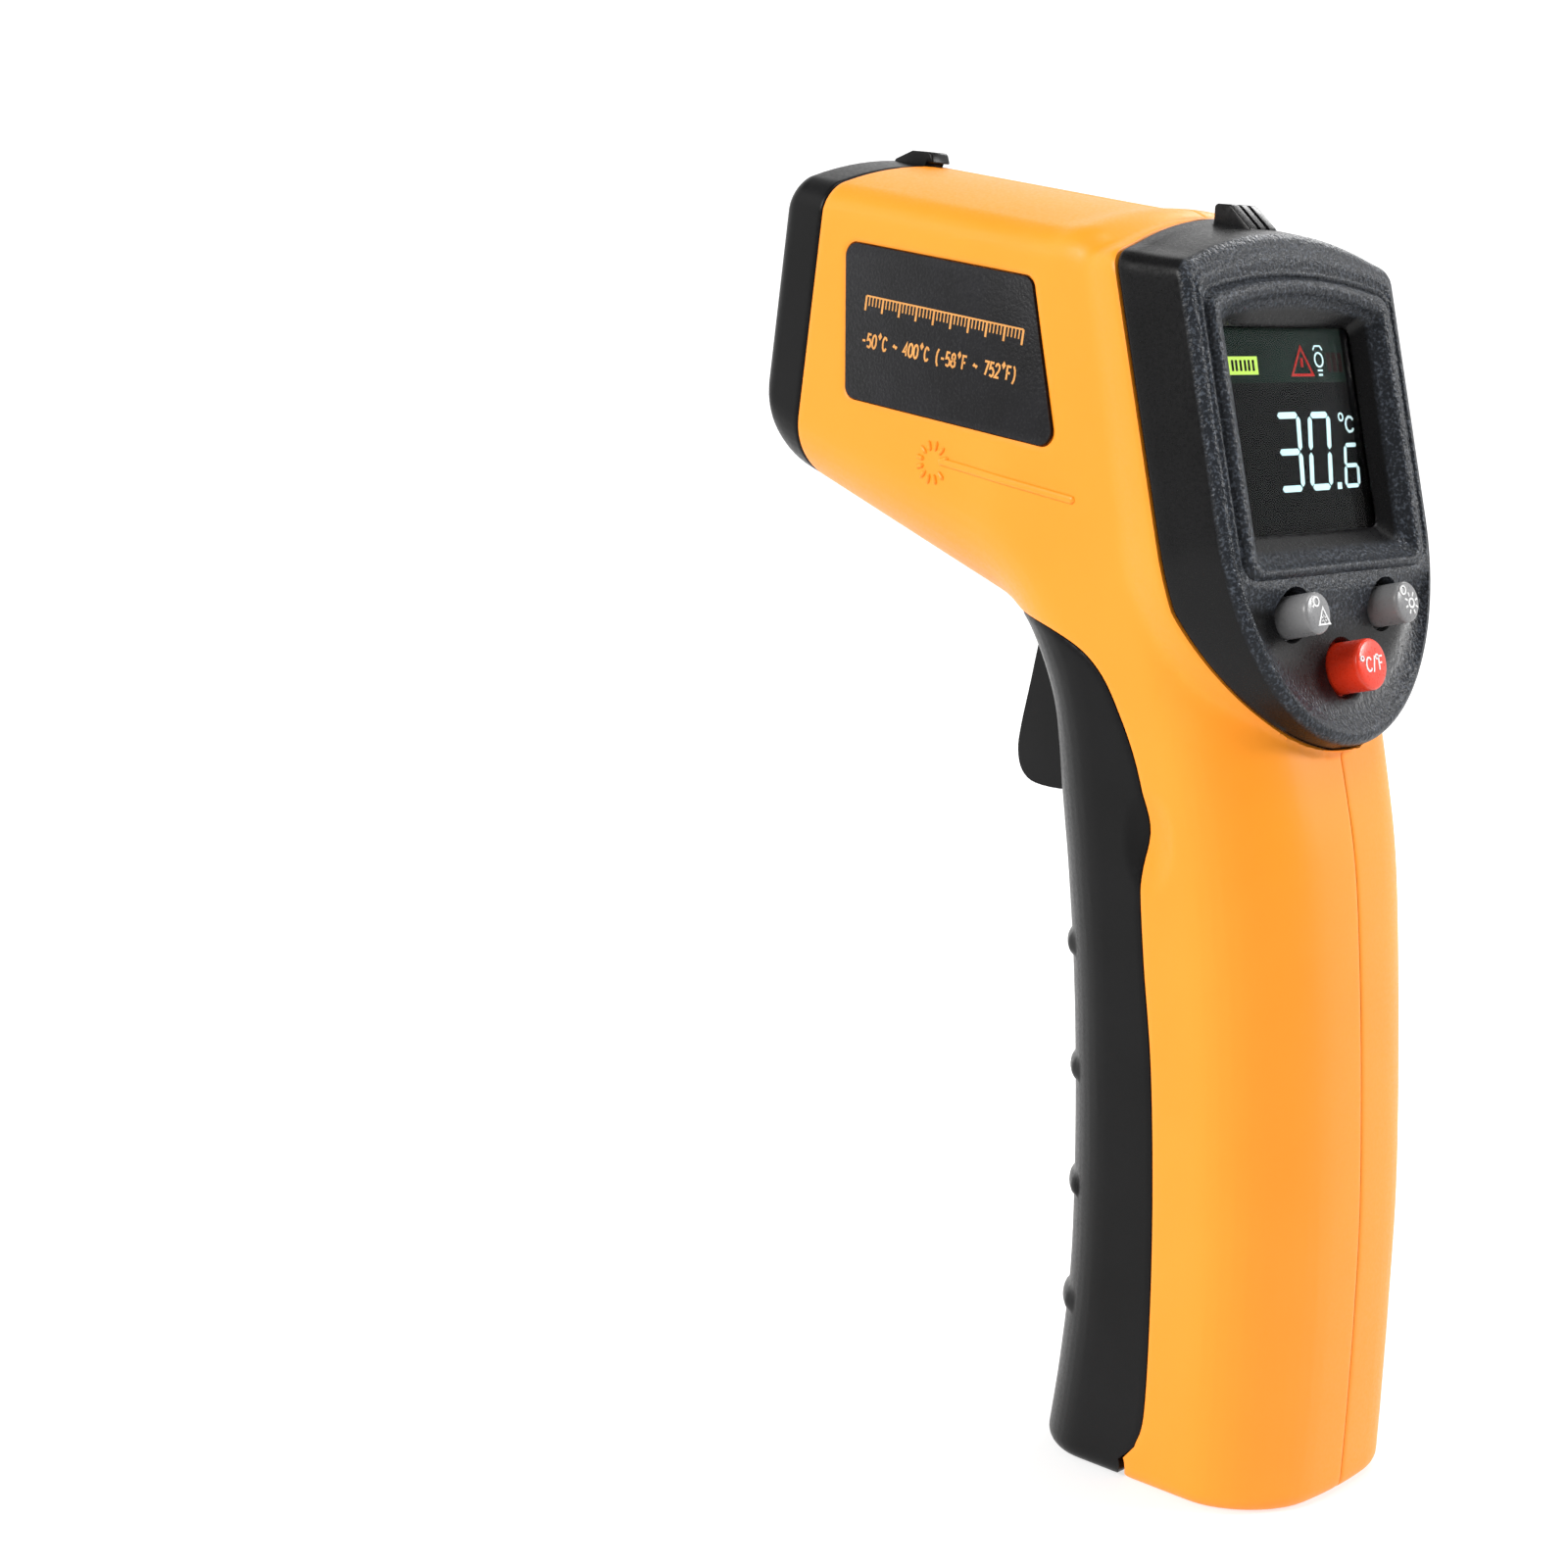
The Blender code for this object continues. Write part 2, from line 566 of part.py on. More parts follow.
def door_zone(name, shift):
    """Everything in front of the door seam; shift moves the seam into the door."""
    radius = HINGE_KNUCKLE_RADIUS - shift if shift > 0 else HINGE_RELIEF_RADIUS
    hinge_arc = arc(HINGE.x, HINGE.z, radius, 25, -90, 6)
    inward = [(x * MM - shift, z * MM - shift * 0.6) for x, z in DOOR_SEAM]
    outline = [(-REACH, inward[0][1] + 3 * MM)] + [(inward[0][0] - 4 * MM, inward[0][1] + 0.4 * MM)]
    outline += inward + hinge_arc + [(HINGE.x, -REACH), (-REACH, -REACH)]
    return prism(name, outline)


def half_space(name, side):
    """Everything on one side of the middle parting plane."""
    low, high = sorted((side * GAP / 2, side * REACH))
    return span_box(name, (-REACH * 2, low, -REACH), (REACH * 2, high, 4 * REACH))


BODY = loft("body_blank", body_rings())
COLLAR = loft("collar_blank", [
    tongue_ring(2.4 * MM, -COLLAR_FRONT),
    tongue_ring(0.8 * MM, -COLLAR_FLARE_START),
    tongue_ring(0.0, -COLLAR_FLARE_END),
    tongue_ring(-COLLAR_LIP - BEZEL_DRAFT, -BEZEL_DEPTH),
    tongue_ring(-COLLAR_LIP, -BEZEL_TIP_DEPTH),
    tongue_ring(-COLLAR_LIP, 0.0),
])
combine(BODY, COLLAR, "UNION")
OUTER = baked(BODY)

CAVITY_BODY = loft("cavity_blank", body_rings(WALL))
CAVITY_COLLAR = loft("collar_cavity", [
    tongue_ring(WALL + 1.0 * MM, -COLLAR_FRONT + 1.0 * MM),
    tongue_ring(WALL, -COLLAR_FLARE_START + 0.8 * MM),
    tongue_ring(WALL, 2.0 * MM),
])
combine(CAVITY_BODY, CAVITY_COLLAR, "UNION")
CAVITY = baked(CAVITY_BODY)

# Ribs and bosses are clipped to this form, which ends inside the walls
CORE_BODY = loft("core_blank", body_rings(WALL / 2))
combine(CORE_BODY, loft("collar_core", [
    tongue_ring(WALL / 2 + 1.0 * MM, -COLLAR_FRONT + 1.0 * MM),
    tongue_ring(WALL / 2, -BEZEL_DEPTH),
]), "UNION")
CORE = baked(CORE_BODY)


# ---- Case halves ----------------------------------------------------------------------------
def add_bosses(shell, name, side):
    """Screw bosses, trigger pin boss and ribs of one case half, reaching into its wall."""
    tools = []
    for i, (x, z) in enumerate(SCREW_PLACES, 1):
        tools.append(rod(f"boss_{i}_{name}", (x, side * GAP / 2, z), (x, side * REACH, z), BOSS_RADIUS,
                         sides=HOLE_SIDES))
    pivot = TRIGGER_PIVOT
    tools.append(rod(f"trigger_boss_{name}", (pivot.x, side * (TRIGGER_HALF_WIDTH + 0.6 * MM), pivot.z),
                     (pivot.x, side * REACH, pivot.z), TRIGGER_BOSS_RADIUS, sides=HOLE_SIDES))
    low, high = sorted((side * GAP / 2, side * REACH))
    tools.append(span_box(f"spring_rib_{name}", (9.5 * MM, low, 110.3 * MM), (15.5 * MM, high, 112.3 * MM)))
    tools.append(span_box(f"switch_rib_{name}", (18.8 * MM, low, 84 * MM), (20.8 * MM, high, 87 * MM)))
    for tool in tools:
        combine(tool, CORE, "INTERSECT")
        combine(shell, tool, "UNION")
    low, high = sorted((side * GAP / 2, side * 8 * MM))
    pad = span_box(f"switch_pad_{name}", (15.5 * MM, low, 84 * MM), (19.5 * MM, high, 87 * MM))
    combine(shell, pad, "UNION")
    low, high = sorted((side * EAR_START, side * EAR_END))
    arm_half_height = 1.0 * MM
    arm = span_box(f"hinge_arm_{name}", (HINGE.x, low, HINGE.z - arm_half_height),
                   (22 * MM, high, HINGE.z + arm_half_height))
    combine(shell, arm, "UNION")
    ear = rod(f"hinge_ear_{name}", (HINGE.x, low, HINGE.z), (HINGE.x, high, HINGE.z), HINGE_EAR_RADIUS,
              sides=HOLE_SIDES)
    combine(shell, ear, "UNION")


def case_half(name, side):
    shell = copy_of(OUTER, name, "yellow_plastic")
    combine(shell, CAVITY)
    combine(shell, nose_zone(f"nose_cut_{name}", NOSE_A - CAP_DEPTH - GAP / 2))
    combine(shell, bezel_zone(f"bezel_cut_{name}", -GAP / 2))
    combine(shell, door_zone(f"door_cut_{name}", -GAP / 2))
    combine(shell, half_space(f"half_{name}", side), "INTERSECT")
    add_bosses(shell, name, side)
    for i, (x, z) in enumerate(SCREW_PLACES, 1):
        combine(shell, rod(f"screw_hole_{i}_{name}", (x, side * -1 * MM, z), (x, side * 12 * MM, z),
                           SCREW_RADIUS + CLEARANCE, sides=HOLE_SIDES))
        if side > 0:
            combine(shell, rod(f"counterbore_{i}_{name}", (x, SCREW_SEAT_Y, z), (x, REACH, z),
                               SCREW_HEAD_RADIUS + CLEARANCE, sides=16))
    combine(shell, rod(f"trigger_pin_hole_{name}", (TRIGGER_PIVOT.x, side * 2 * MM, TRIGGER_PIVOT.z),
                       (TRIGGER_PIVOT.x, side * (TRIGGER_PIN_HALF_LENGTH + CLEARANCE), TRIGGER_PIVOT.z),
                       TRIGGER_PIN_RADIUS + PIN_CLEARANCE))
    combine(shell, rod(f"hinge_hole_{name}", (HINGE.x, side * (EAR_START - 1 * MM), HINGE.z),
                       (HINGE.x, side * (EAR_END + 1 * MM), HINGE.z), HINGE_PIN_RADIUS + PIN_CLEARANCE))
    combine(shell, span_box(f"trigger_mouth_{name}", (-8 * MM, -SLOT_HALF_WIDTH, 90 * MM),
                            (1 * MM, SLOT_HALF_WIDTH, 104 * MM)))
    combine(shell, label_solid(f"label_pocket_{name}", side, -LABEL_POCKET, 5 * MM, CLEARANCE))


def side_plane(a, side):
    """Y of the barrel's flat side at this place along the axis."""
    return side * (BARREL_HALF_WIDTH - BARREL_TAPER * a)


def rounded(corners, radius, steps=4):
    """A polygon with its corners rounded by arcs."""
    points = []
    count = len(corners)
    for i in range(count):
        corner = Vector(corners[i])
        before = (Vector(corners[i - 1]) - corner).normalized()
        after = (Vector(corners[(i + 1) % count]) - corner).normalized()
        half_angle = before.angle(after) / 2
        middle = (before + after).normalized()
        centre = corner + middle * (radius / math.sin(half_angle))
        first = corner + before * (radius / math.tan(half_angle)) - centre
        last = corner + after * (radius / math.tan(half_angle)) - centre
        for k in range(steps + 1):
            t = k / steps
            direction = first.lerp(last, t).normalized()
            points.append(tuple(centre + direction * radius))
    return points


def label_solid(name, side, depth_low, depth_high, grow, surface=None):
    """The label's outline as a slab lying on the barrel side, from depth_low to depth_high outwards."""
    corners = [(a * MM, b * MM) for a, b in LABEL_CORNERS]
    outline = rounded(corners, LABEL_CORNER_RADIUS)
    centre = Vector((sum(a for a, b in outline), sum(b for a, b in outline))) / len(outline)
    rings = []
    for depth in (depth_low, depth_high):
        ring = []
        for a, b in outline:
            away = (Vector((a, b)) - centre).normalized() * grow
            ring.append(barrel_point(a + away.x, b + away.y, side_plane(a, side) + side * depth))
        rings.append(ring)
    return loft(name, rings, surface)


case_half("left_body_shell", -1)
case_half("right_body_shell", 1)
for side, name in ((-1, "side_label_left"), (1, "side_label_right")):
    label_solid(name, side, -LABEL_THICKNESS + 0.15 * MM, 0.15 * MM, 0.0, "label_film")


# ---- Nose cap with the front sight -----------------------------------------------------------
def nose_cap():
    cap = copy_of(OUTER, "nose_cap", "black_plastic")
    combine(cap, CAVITY)
    combine(cap, nose_zone("nose_keep", NOSE_A - CAP_DEPTH + GAP / 2), "INTERSECT")
    back = NOSE_A - CAP_DEPTH
    spigot_inset = WALL + CLEARANCE
    bore_inset = WALL + 1.6 * MM
    spigot = loft("nose_spigot", [barrel_station(back + d * MM, spigot_inset) for d in (1.5, -3.5)])
    web = loft("nose_web", [barrel_station(back + d * MM, WALL - 0.4 * MM) for d in (2.4, 0.5)])
    for piece in (spigot, web):
        bore = [barrel_station(back + d * MM, bore_inset) for d in (3.0, -5.0)]
        combine(piece, loft(f"{piece.name}_bore", bore))
        combine(cap, piece, "UNION")
    inside, outside = NOSE_A - 4 * MM, NOSE_A + 1 * MM
    combine(cap, barrel_rod("lens_hole", LENS_B, inside, outside, LENS_RADIUS - 0.6 * MM, sides=LENS_SIDES))
    combine(cap, barrel_rod("lens_mouth", LENS_B, NOSE_A - 1.2 * MM, outside, LENS_RADIUS - 0.7 * MM,
                            end_radius=LENS_RADIUS + 2.2 * MM, sides=LENS_SIDES))
    combine(cap, barrel_rod("laser_hole", LASER_B, inside, outside, LASER_HOLE_RADIUS))
    crown = TOP_B + TOP_RISE * back
    outline = [(-a * MM, crown + rise * MM) for a, rise in FRONT_SIGHT_SIDE]
    sight = extruded("front_sight", outline, FRONT_SIGHT_HALF_WIDTH, BARREL_SIDE)
    combine(cap, sight, "UNION")


nose_cap()


# ---- Rear bezel with the display opening and rear sight ---------------------------------------
def opening_outline(half_width, bottom, top, arch, radius=1.2 * MM):
    """A rounded opening whose top edge is bowed, (y, s)."""
    half = [((half_width - radius) * i / 4, top + arch * (1 - (i / 4) ** 2)) for i in range(4)]
    half += arc(half_width - radius, top - radius, radius, 80, 0, 3)
    half += arc(half_width - radius, bottom + radius, radius, 0, -90, 3)
    half += [(0.0, bottom)]
    return mirrored(half)


def opening_ring(half_width, bottom, top, arch, off, radius=1.2 * MM):
    return [face_point(y, s, off) for y, s in opening_outline(half_width, bottom, top, arch, radius)]


def rear_sight():
    """The notched block on top of the bezel: a steep front and a grooved rear slope."""
    outline = [(x * MM, z * MM) for x, z in REAR_SIGHT_SIDE]
    groove = [(x * MM, z * MM) for x, z in SIGHT_GROOVE_SIDE]
    sight = extruded("rear_sight", outline, REAR_SIGHT_HALF_WIDTH, SIDE_VIEW)
    for i, y in enumerate(SIGHT_GROOVE_PLACES, 1):
        place = SIDE_VIEW.copy()
        place.translation.y = y
        combine(sight, extruded(f"sight_groove_{i}", groove, SIGHT_GROOVE_HALF_WIDTH, place))
    return sight


def display_frame():
    """The raised rim round the display opening."""
    low, high, arch = FRAME_BOTTOM, OPENING_TOP + FRAME_MARGIN, 1.7 * MM
    slope = 0.5 * MM
    return loft("display_frame", [
        opening_ring(OPENING_HALF_WIDTH + FRAME_MARGIN, low, high, arch, -1.0 * MM, 2.2 * MM),
        opening_ring(OPENING_HALF_WIDTH + FRAME_MARGIN, low, high, arch, FRAME_HEIGHT * 0.4, 2.2 * MM),
        opening_ring(OPENING_HALF_WIDTH + FRAME_MARGIN - slope, low + slope, high - slope, arch, FRAME_HEIGHT,
                     1.9 * MM),
    ])


def display_funnel():
    """The cut from the wide opening in the face down to the window."""
    back = -BEZEL_PLATE
    rings = []
    for grow, off in ((0.0, back - 0.4 * MM), (0.2 * MM, back + 0.2 * MM)):
        rings.append(opening_ring(GLASS_HALF_WIDTH + grow, GLASS_BOTTOM - grow, GLASS_TOP + grow, 0.0, off))
    for grow, off in ((0.0, FRAME_HEIGHT * 0.6), (0.6 * MM, FRAME_HEIGHT + 0.4 * MM)):
        rings.append(opening_ring(OPENING_HALF_WIDTH + grow, -grow, OPENING_TOP + grow, OPENING_ARCH, off))
    return loft("display_opening", rings)


def rear_bezel():
    bezel = loft("rear_bezel", [
        tongue_ring(-BEZEL_DRAFT, -BEZEL_DEPTH - 2 * MM),
        tongue_ring(0.0, -1.2 * MM),
        tongue_ring(0.3 * MM, -0.35 * MM),
        tongue_ring(1.1 * MM, 0.0),
    ], "bezel_plastic")
    combine(bezel, loft("bezel_hollow", [
        tongue_ring(WALL - BEZEL_DRAFT, -BEZEL_DEPTH - 4 * MM),
        tongue_ring(WALL, -BEZEL_PLATE),
    ]))
    combine(bezel, bezel_zone("bezel_keep", GAP / 2), "INTERSECT")
    combine(bezel, display_frame(), "UNION")
    combine(bezel, display_funnel())
    for name, (y, s, radius, _) in BUTTONS.items():
        combine(bezel, face_rod(f"{name}_hole", y, s, -4 * MM, 2 * MM, radius + BUTTON_CLEARANCE))
    for i, (y, s) in enumerate(PCB_SCREW_PLACES, 1):
        boss_low, boss_high = BOARD_OFF + CLEARANCE, -1.5 * MM
        boss = face_rod(f"pcb_boss_{i}", y, s, boss_low, boss_high, PCB_BOSS_RADIUS, sides=HOLE_SIDES)
        combine(bezel, boss, "UNION")
        combine(bezel, face_rod(f"pcb_boss_hole_{i}", y, s, BOARD_OFF - 1 * MM, -4.0 * MM,
                                PCB_SCREW_RADIUS + 0.2 * MM, sides=HOLE_SIDES))
    combine(bezel, rear_sight(), "UNION")


rear_bezel()


# ---- Display stack, buttons and circuit board -------------------------------------------------
def display_stack():
    """Window, lit panel and the holder behind them; all three share one outline about the glass."""
    margin = 1.7 * MM
    window = opening_outline(GLASS_HALF_WIDTH + margin, GLASS_BOTTOM - 1.4 * MM, GLASS_TOP + 1.4 * MM, 0.0)
    faces = (-3.5 * MM, -2.5 * MM)
    loft("lcd_window", [[face_point(y, s, off) for y, s in window] for off in faces], "clear_window")
    half, low, high = GLASS_HALF_WIDTH + margin, 0.6 * MM, 26.6 * MM
    face_box("lcd_module", (-half, low, -7.0 * MM), (half, high, -3.8 * MM), "display_glass")
    holder = face_box("lcd_holder", (-half, low, -10.9 * MM), (half, high, -7.3 * MM), "white_plastic")
    rim = 2.0 * MM
    hollow_low, hollow_high = (rim - half, low + rim, -12 * MM), (half - rim, high - rim, -6 * MM)
    combine(holder, face_box("lcd_holder_hollow", hollow_low, hollow_high))


def button(name, y, s, radius, surface):
    """A cap with a chamfered top edge and a flange behind the bezel plate."""
    top, flange_top = BUTTON_HEIGHT, -BEZEL_PLATE - GAP
    cap = face_rod(name, y, s, -5.0 * MM, top - BUTTON_EDGE, radius, surface)
    combine(cap, face_rod(f"{name}_crown", y, s, top - BUTTON_EDGE - 0.1 * MM, top, radius,
                          end_radius=radius - BUTTON_EDGE), "UNION")
    combine(cap, face_rod(f"{name}_flange", y, s, flange_top - BUTTON_FLANGE_THICKNESS, flange_top,
                          radius + BUTTON_FLANGE), "UNION")


def tact_switch(name, y, s):
    """A square key switch on the board with its round plunger under the button."""
    board_top = BOARD_OFF + CLEARANCE
    half, height, plunger_height = 3.0 * MM, 3.5 * MM, 5.0 * MM
    body = face_box(name, (y - half, s - half, board_top), (y + half, s + half, board_top + height),
                    "chip_black")
    combine(body, face_rod(f"{name}_plunger", y, s, board_top + height - 0.5 * MM, board_top + plunger_height,
                           1.7 * MM, sides=16), "UNION")


def circuit_board():
    """The main board with its screws, processor, buzzer and the sensor's connector."""
    rear = BOARD_OFF - BOARD_THICKNESS
    outline = tongue_outline(2.6 * MM)
    faces = (rear, BOARD_OFF)
    board = loft("main_pcb", [[face_point(y, s, off) for y, s in outline] for off in faces], "board_green")
    back = rear - CLEARANCE
    head = 1.2 * MM
    for i, (y, s) in enumerate(PCB_SCREW_PLACES, 1):
        combine(board, face_rod(f"pcb_hole_{i}", y, s, rear - 1 * MM, BOARD_OFF + 1 * MM,
                                PCB_SCREW_RADIUS + CLEARANCE, sides=HOLE_SIDES))
        screw = face_rod(f"pcb_screw_{i}", y, s, back - head, back, PCB_SCREW_HEAD_RADIUS, "steel",
                         sides=HOLE_SIDES)
        combine(screw, face_rod(f"pcb_screw_shank_{i}", y, s, back - head / 2, -7.0 * MM, PCB_SCREW_RADIUS,
                                sides=HOLE_SIDES), "UNION")
    face_box("processor_chip", (-5 * MM, 2 * MM, rear - 1.7 * MM), (5 * MM, 12 * MM, back), "chip_black")
    face_rod("buzzer", -6 * MM, 20 * MM, rear - 4.3 * MM, back, 5.5 * MM, "chip_black")
    face_box("sensor_connector", (3 * MM, 15 * MM, rear - 4 * MM), (9 * MM, 18.5 * MM, back), "white_plastic")


display_stack()
for button_name, (button_y, button_s, button_radius, button_surface) in BUTTONS.items():
    button(button_name, button_y, button_s, button_radius, button_surface)
    tact_switch(button_name.replace("button", "switch"), button_y, button_s)
circuit_board()


# ---- Battery door, hinge pin and trigger ------------------------------------------------------
def battery_door():
    """The front of the grip: a skin with a slot round the trigger and a hinge knuckle at its foot."""
    door = copy_of(OUTER, "battery_door", "black_plastic")
    combine(door, CAVITY)
    combine(door, door_zone("door_keep", GAP / 2), "INTERSECT")
    slot_low, slot_high = (-30 * MM, SLOT_BOTTOM), (16 * MM, 110 * MM)
    slot = [slot_low, (slot_high[0], slot_low[1]), slot_high, (slot_low[0], slot_high[1])]
    combine(door, prism("trigger_slot", slot, SLOT_HALF_WIDTH))
    end = KNUCKLE_HALF_LENGTH
    knuckle = rod("door_knuckle", (HINGE.x, -end, HINGE.z), (HINGE.x, end, HINGE.z), HINGE_KNUCKLE_RADIUS)
    combine(door, knuckle, "UNION")
    notch = 2.4 * MM
    for side, side_name in ((-1, "left"), (1, "right")):
        low, high = sorted((side * (EAR_START - GAP), side * (EAR_END + GAP)))
        combine(door, span_box(f"ear_notch_{side_name}", (HINGE.x - notch, low, -1 * MM),
                               (30 * MM, high, HINGE.z + notch)))
    combine(door, rod("door_pin_hole", (HINGE.x, -20 * MM, HINGE.z), (HINGE.x, 20 * MM, HINGE.z),
                      HINGE_PIN_RADIUS + PIN_CLEARANCE))
    end = EAR_END - 0.2 * MM
    rod("door_hinge_pin", (HINGE.x, -end, HINGE.z), (HINGE.x, end, HINGE.z), HINGE_PIN_RADIUS, "steel")


TRIGGER_SIDE = [               # (x, z) round the lever: down its front, up its back to the spring arm, mm
    (2.2, 105.3), (-1.6, 102.6), (-4.2, 99.2), (-5.8, 95.5), (-7.2, 90.0), (-8.6, 84.5), (-9.0, 81.5),
    (-8.3, 79.1), (-6.2, 77.8), (-1.5, 77.6), (0.6, 78.8), (0.8, 84.0), (1.8, 89.0), (3.8, 94.5),
    (7.5, 100.4), (14.8, 101.2), (15.2, 103.6), (9.0, 104.0), (7.0, 105.2), (4.6, 106.1),
]


def trigger():
    outline = [(x * MM, z * MM) for x, z in TRIGGER_SIDE]
    lever = extruded("trigger", outline, TRIGGER_HALF_WIDTH, SIDE_VIEW, "black_plastic")
    bevel = lever.modifiers.new("soft_edges", "BEVEL")
    bevel.width = 1.2 * MM
    bevel.segments = 2
    bevel.limit_method = "ANGLE"
    bevel.angle_limit = math.radians(60)
    pivot = TRIGGER_PIVOT
    combine(lever, rod("trigger_bore", (pivot.x, -10 * MM, pivot.z), (pivot.x, 10 * MM, pivot.z),
                       TRIGGER_PIN_RADIUS + PIN_CLEARANCE))
    half = TRIGGER_PIN_HALF_LENGTH
    rod("trigger_pin", (pivot.x, -half, pivot.z), (pivot.x, half, pivot.z), TRIGGER_PIN_RADIUS, "steel")


def coil(name, centre, z_low, z_high, radius, wire, turns, top_radius=None):
    """A compression spring standing on Z over centre (x, y), conical when top_radius differs."""
    per_turn = 10
    last = radius if top_radius is None else top_radius
    points = []
    for i in range(turns * per_turn + 1):
        share = i / (turns * per_turn)
        angle = 2 * math.pi * i / per_turn
        now = radius + (last - radius) * share
        height = z_low + wire + (z_high - z_low - 2 * wire) * share
        points.append((centre[0] + now * math.cos(angle), centre[1] + now * math.sin(angle), height))
    return tube(name, points, wire, "steel")


def trigger_switch():
    """The key switch behind the trigger, on its own small board."""
    half, low, high = 3.2 * MM, 83.0 * MM, 93.0 * MM
    front, back, board_gap = 7.2 * MM, 13.2 * MM, 0.3 * MM
    middle = (low + high) / 2
    body = span_box("trigger_switch", (front, -half, low), (back, half, high), "chip_black")
    combine(body, rod("trigger_switch_plunger", (front - 2.6 * MM, 0, middle), (front + 0.4 * MM, 0, middle),
                      1.5 * MM, sides=16), "UNION")
    board_front = back + board_gap
    board_back = board_front + BOARD_THICKNESS
    span_box("trigger_board", (board_front, -7 * MM, 80 * MM), (board_back, 7 * MM, 97 * MM), "board_green")


battery_door()
trigger()
coil("trigger_spring", (12.4 * MM, 0.0), 104.4 * MM, 110.0 * MM, 1.9 * MM, 0.25 * MM, 4)
trigger_switch()


# ---- Battery bay ------------------------------------------------------------------------------
CELL_GAP = 0.3 * MM            # between a cell and its contacts
SPRING_ROOM = 4.6 * MM
CONTACT_THICKNESS = 0.4 * MM
TRAY_TOP = CELL_FLOOR + CELL_NUB * 2 + CELL_BODY + 5.3 * MM
TRAY_ROOF = 1.5 * MM


def battery_tray():
    """The tray at the back of the bay, with the lower bridge and the two upper contacts."""
    half, hollow_half = 12.1 * MM, 11.0 * MM
    front, back, hollow_back = 11.6 * MM, 20.0 * MM, 18.7 * MM
    tray = span_box("battery_tray", (front, -half, CELL_FLOOR - 2.2 * MM), (back, half, TRAY_TOP + TRAY_ROOF),
                    "black_plastic")
    combine(tray, span_box("tray_hollow", (5 * MM, -hollow_half, CELL_FLOOR - 1.0 * MM),
                           (hollow_back, hollow_half, TRAY_TOP)))
    plate_front, plate_back, plate_end = 9.0 * MM, 18.0 * MM, 10.2 * MM
    bridge = CELL_FLOOR - CONTACT_THICKNESS - 0.3 * MM
    span_box("contact_bridge", (plate_front, -plate_end, bridge),
             (plate_back, plate_end, bridge + CONTACT_THICKNESS), "steel")
    plate, half_split = TRAY_TOP - CONTACT_THICKNESS - 0.3 * MM, 0.6 * MM
    for number, low, high in ((1, -plate_end, -half_split), (2, half_split, plate_end)):
        span_box(f"contact_plate_{number}", (plate_front, low, plate),
                 (plate_back, high, plate + CONTACT_THICKNESS), "steel")


def cell(name, y, body_low, nub_low):
    body = rod(name, (CELL_X, y, body_low), (CELL_X, y, body_low + CELL_BODY), CELL_RADIUS, "cell_wrap",
               sides=LENS_SIDES)
    combine(body, rod(f"{name}_nub", (CELL_X, y, nub_low), (CELL_X, y, nub_low + CELL_NUB + 0.5 * MM),
                      CELL_NUB_RADIUS, sides=16), "UNION")


battery_tray()
first_low = CELL_FLOOR + SPRING_ROOM + CELL_GAP
second_low = CELL_FLOOR + CELL_NUB + CELL_GAP
cell("battery_1", -CELL_Y, first_low, first_low + CELL_BODY - 0.5 * MM)
cell("battery_2", CELL_Y, second_low, CELL_FLOOR + CELL_GAP)
wide_turn, narrow_turn, spring_wire = 3.4 * MM, 2.2 * MM, 0.3 * MM
coil("battery_spring_1", (CELL_X, -CELL_Y), CELL_FLOOR, CELL_FLOOR + SPRING_ROOM,
     wide_turn, spring_wire, 3, top_radius=narrow_turn)
coil("battery_spring_2", (CELL_X, CELL_Y), second_low + CELL_BODY + CELL_GAP, TRAY_TOP - 1.0 * MM,
     narrow_turn, spring_wire, 3, top_radius=wide_turn)


# ---- Optics in the barrel ----------------------------------------------------------------------
def optics():
    """Retaining ring, lens, sensor tube, sensor and laser, in line behind the nose."""
    front = NOSE_A - WALL - CLEARANCE
    ring_back, lens_front = front - 1.0 * MM, front - 1.3 * MM
    ring = barrel_rod("lens_ring", LENS_B, ring_back, front, LENS_RADIUS + 2.4 * MM, "black_plastic",
                      sides=LENS_SIDES)
    combine(ring, barrel_rod("lens_ring_bore", LENS_B, ring_back - 3 * MM, front + 2 * MM,
                             LENS_RADIUS - 0.8 * MM, sides=LENS_SIDES))
    lens_back = lens_front - 1.5 * MM
    barrel_rod("ir_lens", LENS_B, lens_back, lens_front, LENS_RADIUS, "lens_plastic", sides=LENS_SIDES)
    tube_front, tube_back, tube_wall = lens_back - CLEARANCE, 40.0 * MM, 2.2 * MM
    housing = barrel_rod("sensor_tube", LENS_B, tube_back, tube_front, TUBE_RADIUS, "black_plastic",
                         sides=LENS_SIDES)
    combine(housing, barrel_rod("sensor_tube_bore", LENS_B, tube_back - 1 * MM, tube_front + 1 * MM,
                                TUBE_RADIUS - tube_wall, sides=LENS_SIDES))
    can_radius = 4.1 * MM
    can = barrel_rod("ir_sensor", LENS_B, 39.4 * MM, 43.5 * MM, can_radius, "steel")
    combine(can, barrel_rod("ir_sensor_flange", LENS_B, 39.0 * MM, 39.8 * MM, can_radius + 0.5 * MM), "UNION")
    place = Matrix.Translation(barrel_point(37.9 * MM, LENS_B)) @ BARREL_SIDE.to_3x3().to_4x4()
    box("sensor_board", (BOARD_THICKNESS, 20 * MM, 20 * MM), place, "board_green")
    barrel_rod("laser_module", LASER_B, 42 * MM, 55 * MM, LASER_RADIUS, "brass")
    barrel_rod("laser_window", LASER_B, 55.6 * MM, 56.6 * MM, LASER_RADIUS - 0.2 * MM, "clear_window")


optics()


